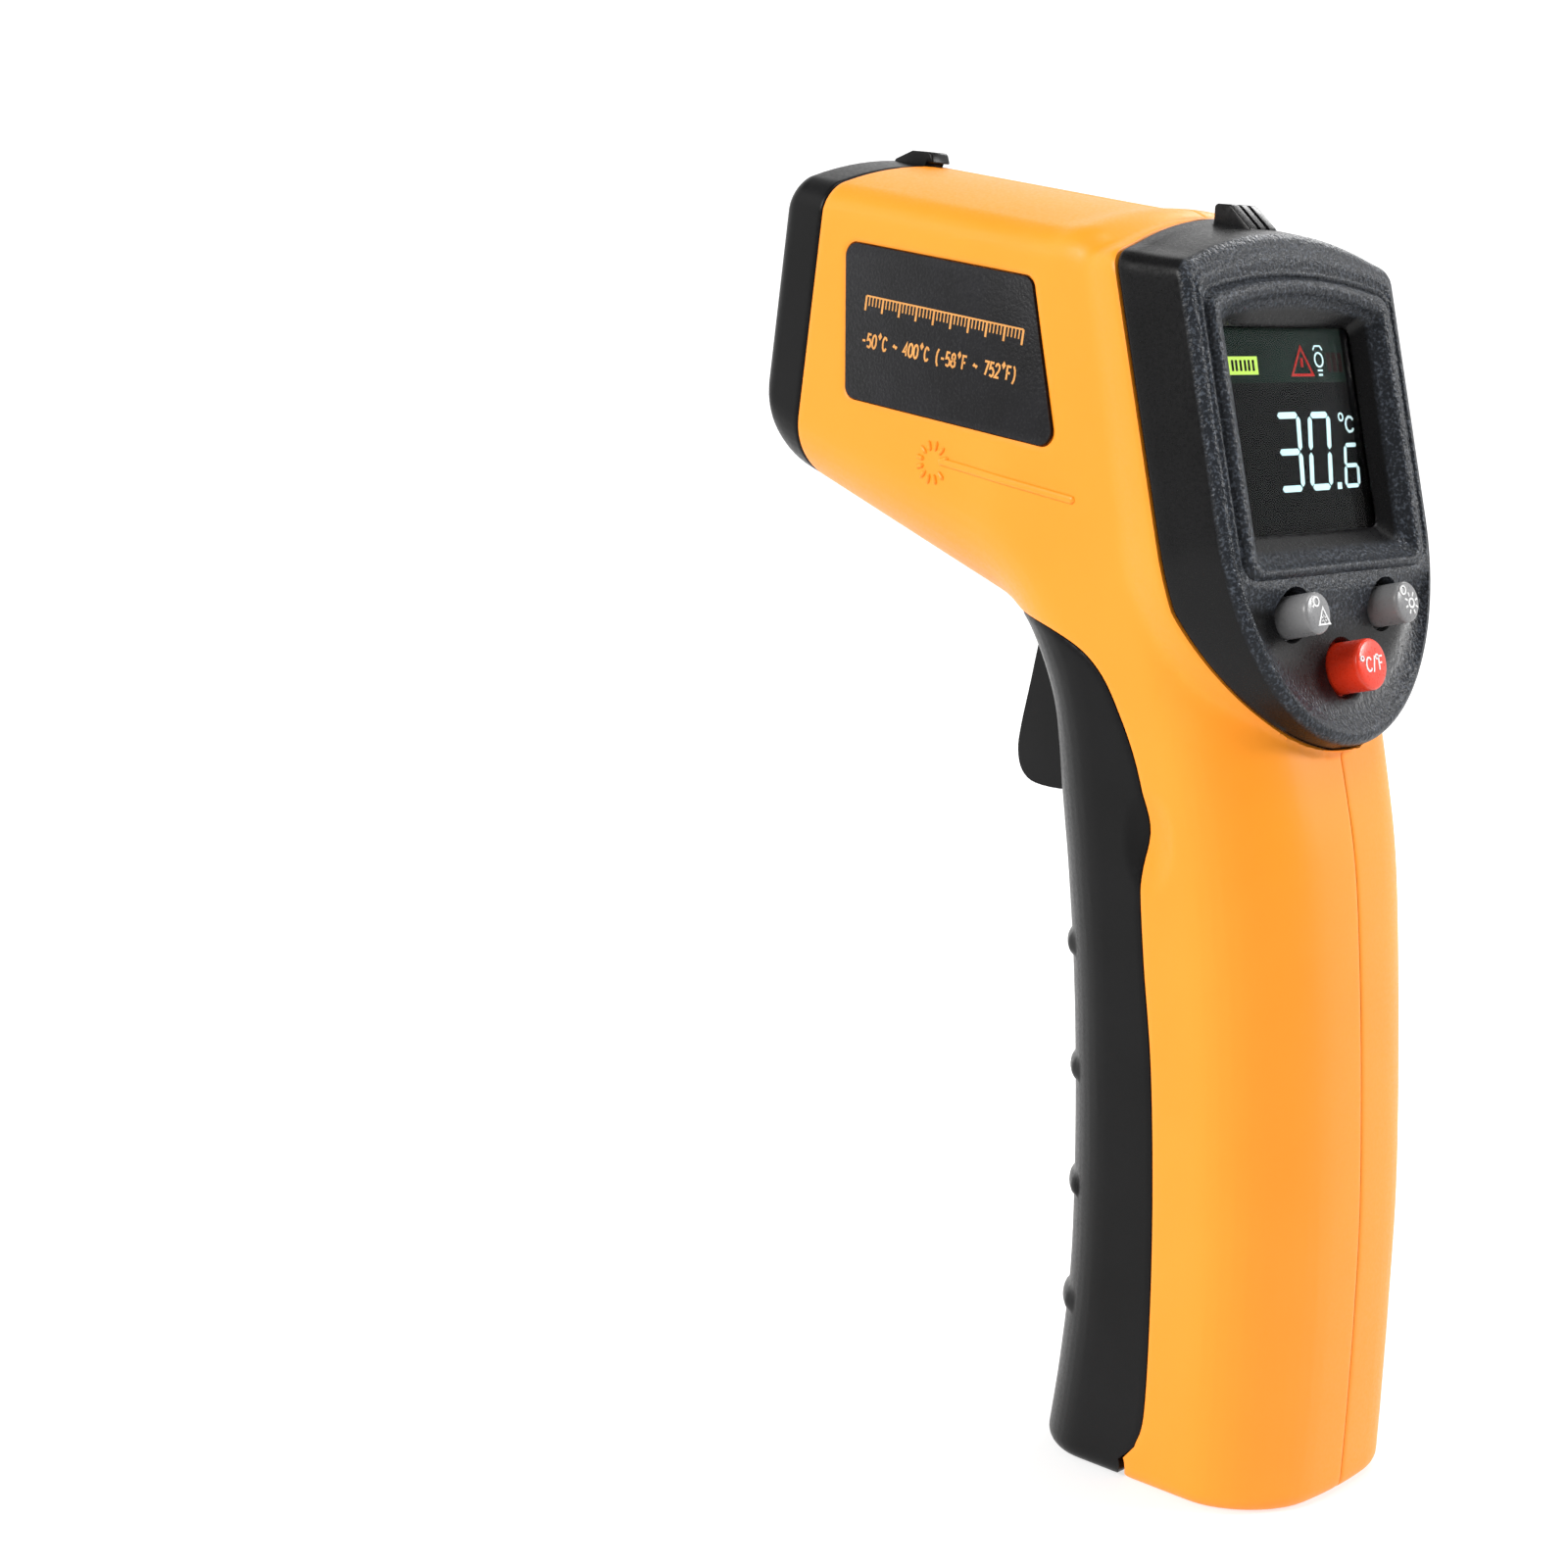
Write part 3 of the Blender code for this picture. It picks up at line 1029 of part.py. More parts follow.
# ---- Case screws and wiring ----------------------------------------------------------------------
def case_screw(name, x, z):
    """A screw from the right half into the left, its head resting over the counterbore's floor."""
    head_low, head = SCREW_SEAT_Y + CLEARANCE, 2.0 * MM
    fastener = rod(name, (x, head_low, z), (x, head_low + head, z), SCREW_HEAD_RADIUS, "steel", sides=16)
    combine(fastener, rod(f"{name}_shank", (x, -9 * MM, z), (x, head_low + head / 2, z), SCREW_RADIUS,
                          sides=HOLE_SIDES), "UNION")


for number, (screw_x, screw_z) in enumerate(SCREW_PLACES, 1):
    case_screw(f"case_screw_{number}", screw_x, screw_z)


def smooth_path(knots, steps=5):
    """Points on a Catmull-Rom curve through the knots."""
    ends = [knots[0] * 2 - knots[1]] + knots + [knots[-1] * 2 - knots[-2]]
    points = []
    for p0, p1, p2, p3 in zip(ends, ends[1:], ends[2:], ends[3:]):
        for i in range(steps):
            t = i / steps
            points.append((p1 * 2 + (p2 - p0) * t + (p0 * 2 - p1 * 5 + p2 * 4 - p3) * t ** 2
                           + (p1 * 3 - p0 - p2 * 3 + p3) * t ** 3) / 2)
    points.append(knots[-1])
    return points


def lead(name, knots, surface, radius):
    tube(name, smooth_path([Vector(knot) for knot in knots]), radius, surface)


PCB_REAR = BOARD_OFF - BOARD_THICKNESS - CLEARANCE
TRAY_ROOF_TOP = TRAY_TOP + TRAY_ROOF + CLEARANCE
BATTERY_LEAD_RADIUS = 0.55 * MM
SENSOR_CABLE_RADIUS = 0.9 * MM
for lead_name, lead_side, lead_surface in (
        ("battery_lead_red", -1, "wire_red"),
        ("battery_lead_black", 1, "wire_black")):
    lead(lead_name, [
        (16 * MM, lead_side * 6 * MM, TRAY_ROOF_TOP + 0.3 * MM),
        (19 * MM, lead_side * 8 * MM, TRAY_ROOF_TOP + 5 * MM),
        (22.5 * MM, lead_side * 8 * MM, TRAY_ROOF_TOP + 14 * MM),
        (22.0 * MM, lead_side * 6 * MM, TRAY_ROOF_TOP + 20 * MM),
        face_point(lead_side * 4 * MM, -12 * MM, PCB_REAR - 0.6 * MM),
    ], lead_surface, BATTERY_LEAD_RADIUS)
lead("sensor_cable", [
    barrel_point(36.6 * MM, LENS_B, 3 * MM),
    barrel_point(28 * MM, LENS_B, 5 * MM),
    barrel_point(16 * MM, LENS_B + 3 * MM, 7 * MM),
    face_point(6 * MM, 16.7 * MM, PCB_REAR - 4.5 * MM),
], "wire_grey", SENSOR_CABLE_RADIUS)


# ---- Joint origins and the shared frame --------------------------------------------------------
def put_origin(name, point):
    """Move an object's origin to a point, without moving its shape."""
    obj = bpy.data.objects[name]
    obj.data.transform(Matrix.Translation(-point))
    obj.location = point


put_origin("battery_door", HINGE)
put_origin("trigger", TRIGGER_PIVOT)
for button_name, (button_y, button_s, _, _) in BUTTONS.items():
    put_origin(button_name, face_point(button_y, button_s, 0.0))

# Everything hangs from one empty, which centres the outline on the origin along X
CENTRE = bpy.data.objects.new("infrared_thermometer_frame", None)
CENTRE.location.x = CENTRE_SHIFT
PARTS.objects.link(CENTRE)
for piece in [*PARTS.objects, *CUTTERS.objects]:
    if piece != CENTRE:
        piece.parent = CENTRE
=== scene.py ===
"""Looks of a pistol-grip infrared thermometer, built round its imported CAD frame.

Shapes are written in the part's design frame (-X nose, +X display, +Z up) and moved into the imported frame
by SHIFT, which is read from the battery door's hinge. Places on the barrel are (a, b): along its axis
towards the nose, and square to it. Places on the display face are (y, s, off): across, up the face and
out of it.
"""

import json
import math

import bmesh
import bpy
import numpy as np
from mathutils import Matrix, Vector
from mathutils.bvhtree import BVHTree


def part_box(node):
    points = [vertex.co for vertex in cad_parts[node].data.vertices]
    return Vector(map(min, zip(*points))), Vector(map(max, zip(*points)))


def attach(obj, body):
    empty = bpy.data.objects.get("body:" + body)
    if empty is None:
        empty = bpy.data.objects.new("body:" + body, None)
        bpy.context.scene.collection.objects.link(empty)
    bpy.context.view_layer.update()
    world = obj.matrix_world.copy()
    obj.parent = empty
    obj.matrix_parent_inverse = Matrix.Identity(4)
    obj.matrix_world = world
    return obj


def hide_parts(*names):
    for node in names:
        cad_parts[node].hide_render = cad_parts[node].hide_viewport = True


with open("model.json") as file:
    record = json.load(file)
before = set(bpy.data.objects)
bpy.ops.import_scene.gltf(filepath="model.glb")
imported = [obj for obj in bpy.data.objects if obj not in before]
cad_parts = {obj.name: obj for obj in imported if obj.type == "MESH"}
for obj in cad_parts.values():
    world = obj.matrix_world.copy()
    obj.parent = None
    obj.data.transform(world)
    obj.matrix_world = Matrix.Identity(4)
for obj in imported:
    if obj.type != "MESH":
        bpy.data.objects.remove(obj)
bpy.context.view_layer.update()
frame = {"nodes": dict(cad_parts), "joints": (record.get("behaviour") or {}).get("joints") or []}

MM = 0.001
JOINTS = {joint["name"]: joint for joint in frame["joints"]}
HINGE = Vector((15.2, 0.0, 1.8)) * MM
SHIFT = Vector(JOINTS["door_hinge"]["pos_m"]) - HINGE

# ---- Driving dimensions: the CAD part's, but for a slightly shorter nose and a slightly lower bezel top
WALL = 2.0 * MM
SEAM_GAP = 0.16 * MM           # visible width of the parting gaps
HALF_GAP = 0.05 * MM           # the two case halves close tighter
BARREL_PITCH = math.radians(9.5)
NOSE_A, CAP_SEAM_A = 59.42 * MM, 52.5 * MM
TOP_B, TOP_RISE = 143.6 * MM, 0.017
UNDERSIDE_B, UNDERSIDE_RISE = 91.6 * MM, 0.273
BARREL_HALF_WIDTH, BARREL_TAPER = 19.5 * MM, 0.019
LOW_RADIUS_AT_NOSE, LOW_RADIUS_GROWTH = 7.0 * MM, 0.14
NOSE_EDGE_RADIUS, CHIN_RADIUS, BASE_EDGE_RADIUS = 2.2 * MM, 5.0 * MM, 1.8 * MM
LEAST_RADIUS = 0.6 * MM

FACE_TILT = math.radians(12.3)
FACE_ORIGIN = Vector((31.7, 0.0, 107.25)) * MM
FACE_HALF_WIDTH = 19.8 * MM
FACE_TOP, FACE_ARCH = 34.9 * MM, 3.1 * MM
TOP_GROWTH, ARCH_GROWTH = 0.4, 0.14    # the bezel's top rises towards the seam, as the barrel's crown does
FACE_CORNER_RADIUS, RIM_RADIUS = 2.2 * MM, 1.3 * MM
TONGUE_START, TONGUE_BOTTOM = 3.0 * MM, -21.2 * MM
BEZEL_DEPTH, BEZEL_TIP_DEPTH, BEZEL_DRAFT = 8.5 * MM, 2.8 * MM, 0.3 * MM
SEAM_STRAIGHT_TO = -4.0 * MM
COLLAR_PROFILE = [             # (inset, off) of the case behind the bezel, mm, forwards end first
    (2.6, -18.0), (1.8, -15.8), (1.0, -14.0), (0.4, -12.4), (-0.1, -11.0), (-0.45, -9.6), (-0.6, -8.5),
    (-0.45, -5.0), (-0.35, -2.8), (-0.3, 0.0)]
COLLAR_HOLLOW = [(3.4, -16.0), (2.2, -13.2), (2.0, 2.0)]
CREASE_OFF, CREASE_WIDTH, CREASE_ROUNDS = -13.0 * MM, 2.4 * MM, 16

OPENING_HALF_WIDTH, OPENING_TOP, OPENING_ARCH = 15.0 * MM, 26.5 * MM, 1.8 * MM
GLASS_HALF_WIDTH, GLASS_BOTTOM, GLASS_TOP = 12.4 * MM, 2.6 * MM, 25.3 * MM
FRAME_BOTTOM = -2.2 * MM
GROOVE_GROW = 2.6 * MM         # how far the groove round the frame lies outside the opening
FRAME_STEPS = [                # (outside the opening, off, up) from the groove over the raised frame, mm
    (2.42, -0.1, -0.22), (2.25, -0.24, -0.32), (2.08, -0.1, -0.3), (1.94, 0.1, -0.2), (1.78, 0.38, -0.02),
    (1.5, 0.58, 0.16), (1.15, 0.64, 0.36), (0.75, 0.6, 0.6), (0.35, 0.46, 0.8), (0.08, 0.2, 0.95)]
BUTTONS = {                    # name: (y, s, radius, surface)
    "laser_button": (-8.7 * MM, -6.4 * MM, 2.3 * MM, "grey_button"),
    "backlight_button": (8.7 * MM, -6.4 * MM, 2.3 * MM, "grey_button"),
    "unit_button": (0.0, -12.6 * MM, 2.85 * MM, "red_button"),
}
BUTTON_TOP, LEGEND_SCALE = 2.65 * MM, 1.16
DISH_DEPTH = 1.3 * MM          # hollow round the buttons
LIT_OFF, LIT_THICKNESS = -3.74 * MM, 0.05 * MM

KNUCKLE_RADIUS, HINGE_RELIEF_RADIUS, PIN_HOLE_RADIUS = 1.8 * MM, 2.4 * MM, 0.9 * MM
KNUCKLE_HALF_LENGTH, EAR_START, EAR_END, EAR_RADIUS = 8.9 * MM, 9.2 * MM, 12.6 * MM, 1.6 * MM
SLOT_HALF_WIDTH, SLOT_BOTTOM, SLOT_REAR = 5.6 * MM, 74.5 * MM, 16 * MM
TRIGGER_HALF_WIDTH, TRIGGER_BORE_RADIUS = 4.8 * MM, 1.3 * MM
TRIGGER_PIVOT = Vector((4.5, 0.0, 103.0)) * MM
BOSS_RADIUS, TRIGGER_BOSS_RADIUS, BOSS_BORE_RADIUS, SCREW_WELL_RADIUS = 4.2 * MM, 3.0 * MM, 1.3 * MM, 2.9 * MM
RIBS = [                       # inside each half: (x, z) of two corners, mm
    ((9.5, 110.3), (15.5, 112.3)), ((18.8, 84.0), (20.8, 87.0))]
SCREW_COUNT = 4
LENS_B, LENS_RADIUS, LASER_B = 122.0 * MM, 7.2 * MM, 136.0 * MM
FRONT_SIGHT_SIDE = [           # (a, rise over the crown), mm
    (58.2, -1.2), (57.6, 0.3), (55.0, 1.55), (51.8, 1.65), (51.2, 0.4), (52.7, 0.35), (52.7, -1.2)]
REAR_SIGHT_SIDE = [            # (x, z), mm
    (15.9, 141.0), (16.0, 144.6), (16.3, 144.9), (18.2, 144.7), (20.9, 142.1), (21.1, 139.8), (16.4, 141.0)]
SIGHT_GROOVE_SIDE = [(15.0, 144.3), (15.0, 148.0), (25.0, 147.0), (25.0, 141.0), (20.5, 141.9), (18.0, 144.1)]
FRONT_SIGHT_HALF_WIDTH, REAR_SIGHT_HALF_WIDTH, SIGHT_GROOVE_HALF_WIDTH = 1.6 * MM, 2.5 * MM, 0.35 * MM
TRIGGER_FRONT = [              # (x, z) down the lever's front and up its back, mm
    (2.2, 105.3), (-1.6, 102.6), (-4.2, 99.2), (-5.8, 95.5), (-7.2, 90.0), (-8.6, 84.5), (-9.0, 81.5),
    (-8.3, 79.1),
    (-6.2, 77.8), (-1.5, 77.6), (0.6, 78.8), (0.8, 84.0), (1.8, 89.0), (3.8, 94.5), (7.5, 100.4)]
TRIGGER_ARM = [(14.8, 101.2), (15.2, 103.6), (9.0, 104.0), (7.0, 105.2), (4.6, 106.1)]
RIB_HEIGHTS = [61.7 * MM, 47.0 * MM, 33.0 * MM, 18.8 * MM]     # grip ribs on the battery door
RIB_REACH, RIB_HALF_WIDTH, RIB_RISE = 14.4 * MM, 1.25 * MM, 0.6 * MM
RIB_ZONE_X, RIB_ZONE_Z, RIB_TAPER = 9 * MM, 65 * MM, 0.9 * MM
SCOOP_X, SCOOP_Z = 20.0 * MM, 75.6 * MM                        # nail recess beside the door
SCOOP_HALF_WIDTH, SCOOP_HALF_HEIGHT, SCOOP_DEPTH = 3.4 * MM, 6.0 * MM, 0.9 * MM
SCOOP_FROM_Y = 10 * MM

LABEL_CORNERS = [(47.8, 135.6), (44.8, 117.8), (12.0, 117.9), (18.6, 135.6)]        # (a, b), mm
LABEL_RADIUS, POCKET_GROWTH = 1.6 * MM, 0.28 * MM
LABEL_HEIGHT = 0.12 * MM       # how far the film stands out of its pocket
PRINT_ENDS = (43.2 * MM, 18.6 * MM)
SCALE_LOW, SCALE_HIGH, SCALE_TICKS = 128.2 * MM, 129.9 * MM, 46
RANGE_TEXT, RANGE_B, RANGE_HEIGHT = "-50*C ~ 400*C (-58*F ~ 752*F)", 124.1 * MM, 1.5 * MM
SUN_CENTRE, BEAM_END = (29.6, 112.9), (8.2, 112.9)             # (a, b), mm

# Grip: (front x, front z, rear x, rear z, half width, front corner, rear corner, front arch, rear arch), mm
GRIP_STATIONS = [
    (-4.4, 99.4, 6.5, 144.85, 19.25, 12.0, 3.0, 1.0, 3.4),
    (-2.0, 97.4, 12.6, 143.85, 19.2, 12.0, 3.2, 1.0, 3.4),
    (0.0, 94.6, 18.6, 136.5, 19.1, 12.0, 5.0, 1.0, 3.2),
    (1.4, 91.0, 21.8, 122.0, 18.9, 12.0, 7.0, 1.0, 3.0),
    (2.2, 87.2, 25.2, 109.0, 18.5, 11.6, 8.0, 1.0, 2.5),
    (2.1, 83.4, 28.6, 98.5, 17.9, 11.0, 8.8, 1.2, 2.2),
    (2.0, 79.6, 31.9, 90.0, 17.3, 10.4, 9.6, 1.4, 2.0),
    (2.3, 75.5, 34.1, 81.5, 16.9, 9.8, 10.0, 1.6, 2.0),
    (2.8, 70.0, 35.8, 72.5, 16.6, 9.4, 10.2, 1.8, 2.0),
    (3.4, 60.0, 36.9, 60.0, 16.3, 9.4, 10.2, 2.0, 2.0),
    (3.9, 47.0, 37.6, 47.0, 16.1, 9.4, 10.2, 2.0, 2.0),
    (3.9, 34.0, 38.0, 34.0, 15.9, 9.4, 10.2, 2.0, 2.0),
    (3.5, 22.0, 37.8, 22.0, 15.7, 9.2, 10.2, 2.0, 2.0),
    (2.3, 10.0, 37.3, 10.0, 15.6, 8.6, 10.0, 2.0, 2.0),
    (0.8, 0.0, 36.7, 0.0, 15.5, 8.0, 9.6, 2.0, 2.0),
]
DOOR_SEAM = [                  # (x, z) down the side, mm
    (-5.5, 99.8), (3.6, 99.2), (9.8, 97.2), (13.6, 94.2), (16.2, 89.5), (18.4, 83.5), (19.5, 77.5),
    (18.7, 71.5),
    (19.2, 62.0), (20.4, 50.0), (20.9, 36.0), (20.8, 22.0), (20.2, 9.0), (18.9, 4.6)]

# Mesh fineness
VOXEL = 0.42 * MM
ROW_STEPS, CORNER_STEPS, SIDE_STEPS, ARCH_STEPS, TONGUE_STEPS = 5, 10, 12, 8, 36
LOOP_ANGLES = np.linspace(0, 2 * math.pi, 420, endpoint=False)
FAR = 60 * MM                  # how far cutters run past the body

CAMERA_PLACE = Vector((187.5, -237.8, 128.7)) * MM
CAMERA_AZIMUTH, CAMERA_ELEVATION = math.radians(45.45), math.radians(9.61)
CAMERA_LENS = 58.5
LIGHTS = [                     # name, place (m), width, height (m), power (W), colour
    ("key_light", (-0.1, -0.85, 0.6), 0.4, 0.4, 9.2, (1.0, 0.99, 0.97)),
    ("face_light", (0.64, 0.52, 0.46), 0.25, 0.2, 5.0, (1.0, 1.0, 1.0)),
    ("top_light", (0.25, 0.1, 0.95), 0.35, 0.35, 2.6, (1.0, 1.0, 1.0)),
    ("back_light", (-0.2, 0.75, 0.6), 0.22, 0.22, 1.2, (1.0, 1.0, 1.0)),
]
LIGHT_AIM = Vector((0.0, 0.0, 0.08))
WORLD_STRENGTH = 0.12
PAPER_NEAR, PAPER_FAR = 0.05, 0.95       # glow of the paper sweep on the camera's side and behind the object
PAPER_PROFILE = [(0.001, 0.0), (1.6, 0.0), (1.9, 0.05), (2.15, 0.22), (2.3, 0.5), (2.35, 1.0), (2.35, 2.6)]

# ---- Directions
AXIS_A = Vector((-math.cos(BARREL_PITCH), 0.0, math.sin(BARREL_PITCH)))
AXIS_B = Vector((math.sin(BARREL_PITCH), 0.0, math.cos(BARREL_PITCH)))
FACE_OUT = Vector((math.cos(FACE_TILT), 0.0, math.sin(FACE_TILT)))
FACE_UP = Vector((-math.sin(FACE_TILT), 0.0, math.cos(FACE_TILT)))
ACROSS = Vector((0.0, 1.0, 0.0))
NOWHERE = Vector((0.0, 0.0, 0.0))


def mm(rows):
    """Rows of numbers in millimetres as rows in metres."""
    return [tuple(value * MM for value in row) for row in rows]


def barrel_point(a, b, y=0.0):
    return AXIS_A * a + AXIS_B * b + ACROSS * y


def face_point(y, s, off):
    return FACE_ORIGIN + ACROSS * y + FACE_UP * s + FACE_OUT * off


def matrix_from(x_axis, y_axis, z_axis, origin=NOWHERE):
    return Matrix.Translation(origin) @ Matrix((x_axis, y_axis, z_axis)).transposed().to_4x4()


SIDE_VIEW = matrix_from(Vector((1, 0, 0)), Vector((0, 0, 1)), -ACROSS)
BARREL_SIDE = matrix_from(-AXIS_A, AXIS_B, -ACROSS)


def face_matrix(y=0.0, s=0.0, off=0.0):
    return matrix_from(ACROSS, FACE_UP, FACE_OUT, face_point(y, s, off))


def side_plane(a, side):
    """Y of the barrel's flat side at this place along the axis."""
    return side * (BARREL_HALF_WIDTH - BARREL_TAPER * a)


# ---- Procedural materials
def feed(tree, node, inputs):
    """Set a node's inputs from values, colours as tuples of three, or other nodes' outputs."""
    for key, value in inputs.items():
        if isinstance(value, bpy.types.NodeSocket):
            tree.links.new(value, node.inputs[key])
        else:
            node.inputs[key].default_value = (*value, 1.0) if isinstance(value, tuple) else value


def add_node(tree, kind, output, inputs, **settings):
    """Add a shader node and return its named output."""
    node = tree.nodes.new(f"ShaderNode{kind}")
    for name, value in settings.items():
        setattr(node, name, value)
    feed(tree, node, inputs)
    return node.outputs[output]


def remapped(tree, source, low, high, start, end):
    limits = {"Value": source, "From Min": start, "From Max": end, "To Min": low, "To Max": high}
    return add_node(tree, "MapRange", "Result", limits)


def moulded(name, colour, second, roughness=0.4, mottle=60.0, grain=2500.0, depth=0.00001, metallic=0.0,
            coat=0.0, specks=0.0, specular=0.5, front=None, more=None):
    """A moulded or coated surface: slow drift between two colours, with a fine grain in bump and roughness.

    specks is the share of pale grains. front = (colour, roughness, depth, grain) gives the display face a
    coarser grain than the skirt behind it, and a lighter colour with pale specks four times as bright: painted
    sheen and glints where the face catches the light.
    """
    made = bpy.data.materials.new(name)
    made.use_nodes = True
    tree = made.node_tree
    place = add_node(tree, "TexCoord", "Object", {})

    def noise(scale, detail):
        return add_node(tree, "TexNoise", "Fac", {"Vector": place, "Scale": scale, "Detail": detail})

    def mix(share, first, other, **settings):
        return add_node(tree, "Mix", "Result", {"Factor": share, "A": first, "B": other}, **settings)

    tone = mix(remapped(tree, noise(mottle, 4.0), 0.0, 1.0, 0.35, 0.65), colour, second, data_type="RGBA")
    fine = noise(grain, 3.0)
    if specks:
        pale = tuple(min(1.0, c * 2.4 + 0.03) for c in colour)
        share = remapped(tree, noise(grain * 1.3, 1.0), 0.0, specks, 0.56, 0.7)
        tone = mix(share, tone, pale, data_type="RGBA")
    rough = remapped(tree, fine, roughness * 0.85, roughness * 1.15, 0.35, 0.65)
    normal = add_node(tree, "Bump", "Normal", {"Strength": 1.0, "Distance": depth, "Height": fine})
    if front:
        face_colour_with_painted_sheen, front_roughness, front_depth, front_grain = front
        outwards = add_node(tree, "VectorMath", "Value", {0: place, 1: FACE_OUT}, operation="DOT_PRODUCT")
        edge, blur = (FACE_ORIGIN + SHIFT).dot(FACE_OUT) - 0.9 * MM, 0.25 * MM
        mask = remapped(tree, outwards, 0.0, 1.0, edge - blur, edge + blur)
        # The face colour, lighter than the skirt's, and these specks four times as bright are painted sheen
        # and glints of the face's highlights.
        painted_glint_colour = tuple(c * 4.0 for c in face_colour_with_painted_sheen)
        share = remapped(tree, noise(front_grain * 1.2, 1.0), 0.0, 1.0, 0.5, 0.7)
        tone = mix(mask, tone, mix(share, face_colour_with_painted_sheen, painted_glint_colour, data_type="RGBA"), data_type="RGBA")
        rough = mix(mask, rough, front_roughness)
        coarse = {"Strength": mask, "Distance": front_depth, "Height": noise(front_grain, 2.0),
                  "Normal": normal}
        normal = add_node(tree, "Bump", "Normal", coarse)
    inputs = {"Base Color": tone, "Roughness": rough, "Normal": normal, "Metallic": metallic,
              "Coat Weight": coat,
              "Coat Roughness": 0.15, "Specular IOR Level": specular}
    feed(tree, tree.nodes["Principled BSDF"], inputs | (more or {}))
    return made


def glowing(name, colour, strength):
    """A lit display segment, with a faint unevenness."""
    return moulded(name, colour, tuple(c * 0.85 for c in colour), 0.5, 300.0, depth=0.0, specular=0.03,
                   more={"Emission Color": colour, "Emission Strength": strength})


def grey(value):
    return (value, value, value)


BLACK, BLACK_SOFT = (0.004, 0.004, 0.0042), (0.006, 0.006, 0.0065)
SURFACES = {
    "yellow_case": moulded("yellow_case_plastic", (0.98, 0.32, 0.018), (0.98, 0.305, 0.014), 0.42, 45.0,
                           2600.0,
                           0.000006, specular=0.4),
    "black_trim": moulded("black_satin_plastic", BLACK, BLACK_SOFT, 0.34, 60.0, 2600.0, 0.000008,
                          specular=0.16),
    # The display face's lighter colour and pale specks are painted sheen and glints; face and skirt are one
    # black moulding.
    "bezel": moulded("textured_black_plastic_with_painted_face_sheen", BLACK, BLACK_SOFT, 0.3, 90.0, 2600.0, 0.000008, specular=0.2,
                     front=((0.017, 0.0195, 0.024), 0.33, 0.0002, 2300.0)),
    "grey_button": moulded("grey_button_plastic", (0.19, 0.19, 0.195), (0.215, 0.215, 0.22), 0.3, 90.0,
                           2600.0),
    "red_button": moulded("red_button_plastic", (0.86, 0.045, 0.012), (0.78, 0.035, 0.01), 0.3, 90.0, 2600.0),
    "label_film": moulded("label_film", (0.006, 0.006, 0.007), (0.009, 0.009, 0.011), 0.42, 200.0, 2600.0,
                          0.00008, specks=0.2, specular=0.2),
    "clear_window": moulded("display_window_clear", (0.9, 0.94, 0.94), (0.864, 0.9024, 0.9024), 0.04, 40.0,
                            900.0,
                            0.0, specular=0.3, more={"Transmission Weight": 1.0, "IOR": 1.1}),
    "display": moulded("display_panel", (0.001, 0.0015, 0.0018), (0.0015, 0.002, 0.0025), 0.6, 90.0,
                       depth=0.0,
                       specular=0.02),
    "infrared_lens": moulded("infrared_lens_plastic", (0.72, 0.72, 0.69), (0.66, 0.66, 0.63), 0.22, 200.0),
    "white_plastic": moulded("white_plastic", (0.8, 0.8, 0.78), (0.74, 0.74, 0.72), 0.4, 200.0),
    "circuit_board": moulded("solder_mask", (0.02, 0.2, 0.07), (0.015, 0.14, 0.05), 0.35, 700.0, 1800.0,
                             0.00003),
    "chip": moulded("chip_epoxy", grey(0.018), grey(0.026), 0.55, 500.0),
    "steel": moulded("nickel_plated_steel", grey(0.6), (0.5, 0.5, 0.51), 0.28, 300.0, 1500.0, 0.000004,
                     metallic=1.0),
    "brass": moulded("turned_brass", (0.75, 0.52, 0.2), (0.66, 0.45, 0.16), 0.3, 300.0, metallic=1.0),
    "cell_wrap": moulded("battery_sleeve", (0.04, 0.2, 0.09), (0.03, 0.16, 0.07), 0.3, 120.0, coat=0.4),
    "red_wire": moulded("wire_insulation", (0.35, 0.03, 0.03), (0.28, 0.02, 0.02), 0.5, 300.0),
    "black_wire": moulded("black_wire_insulation", grey(0.02), grey(0.03), 0.5, 300.0),
    "grey_wire": moulded("grey_wire_insulation", grey(0.3), grey(0.24), 0.5, 300.0),
    "white_ink": moulded("white_ink", grey(0.86), grey(0.78), 0.5, 600.0),
    "orange_ink": moulded("orange_ink", (0.72, 0.33, 0.08), (0.62, 0.27, 0.06), 0.5, 600.0),
    "dark_screw": moulded("blackened_steel", grey(0.09), grey(0.13), 0.35, 400.0, metallic=1.0),
    "lit_digits": glowing("lit_digits", (0.66, 0.86, 0.88), 0.8),
    "lit_tag": glowing("lit_tag", (0.62, 0.86, 0.14), 0.55),
    "lit_warning": glowing("lit_warning", (0.5, 0.02, 0.015), 0.25),
    "top_tint": glowing("display_top_tint", (0.002, 0.011, 0.007), 0.3),
    "unlit": moulded("unlit_segments", (0.02, 0.004, 0.004), (0.024, 0.005, 0.005), 0.6, 300.0, depth=0.0,
                     specular=0.03),
}
NODE_SURFACES = {              # the CAD nodes that stay, by the start of the node's name
    "chip": ["backlight_switch", "laser_switch", "unit_switch", "trigger_switch", "buzzer", "processor_chip"],
    "black_wire": ["battery_lead_black"], "red_wire": ["battery_lead_red"], "grey_wire": ["sensor_cable"],
    "steel": ["battery_spring", "contact_", "door_hinge_pin", "ir_sensor", "pcb_screw", "trigger_pin",
              "trigger_spring"],
    "black_trim": ["battery_tray", "lens_ring", "sensor_tube"], "cell_wrap": ["battery_1", "battery_2"],
    "brass": ["laser_module"], "clear_window": ["laser_window", "lcd_window"], "display": ["lcd_module"],
    "white_plastic": ["lcd_holder", "sensor_connector"],
    "circuit_board": ["main_pcb", "sensor_board", "trigger_board"],
}


# ---- Meshes
def new_object(name, data):
    obj = bpy.data.objects.new(name, data)
    bpy.context.scene.collection.objects.link(obj)
    return obj


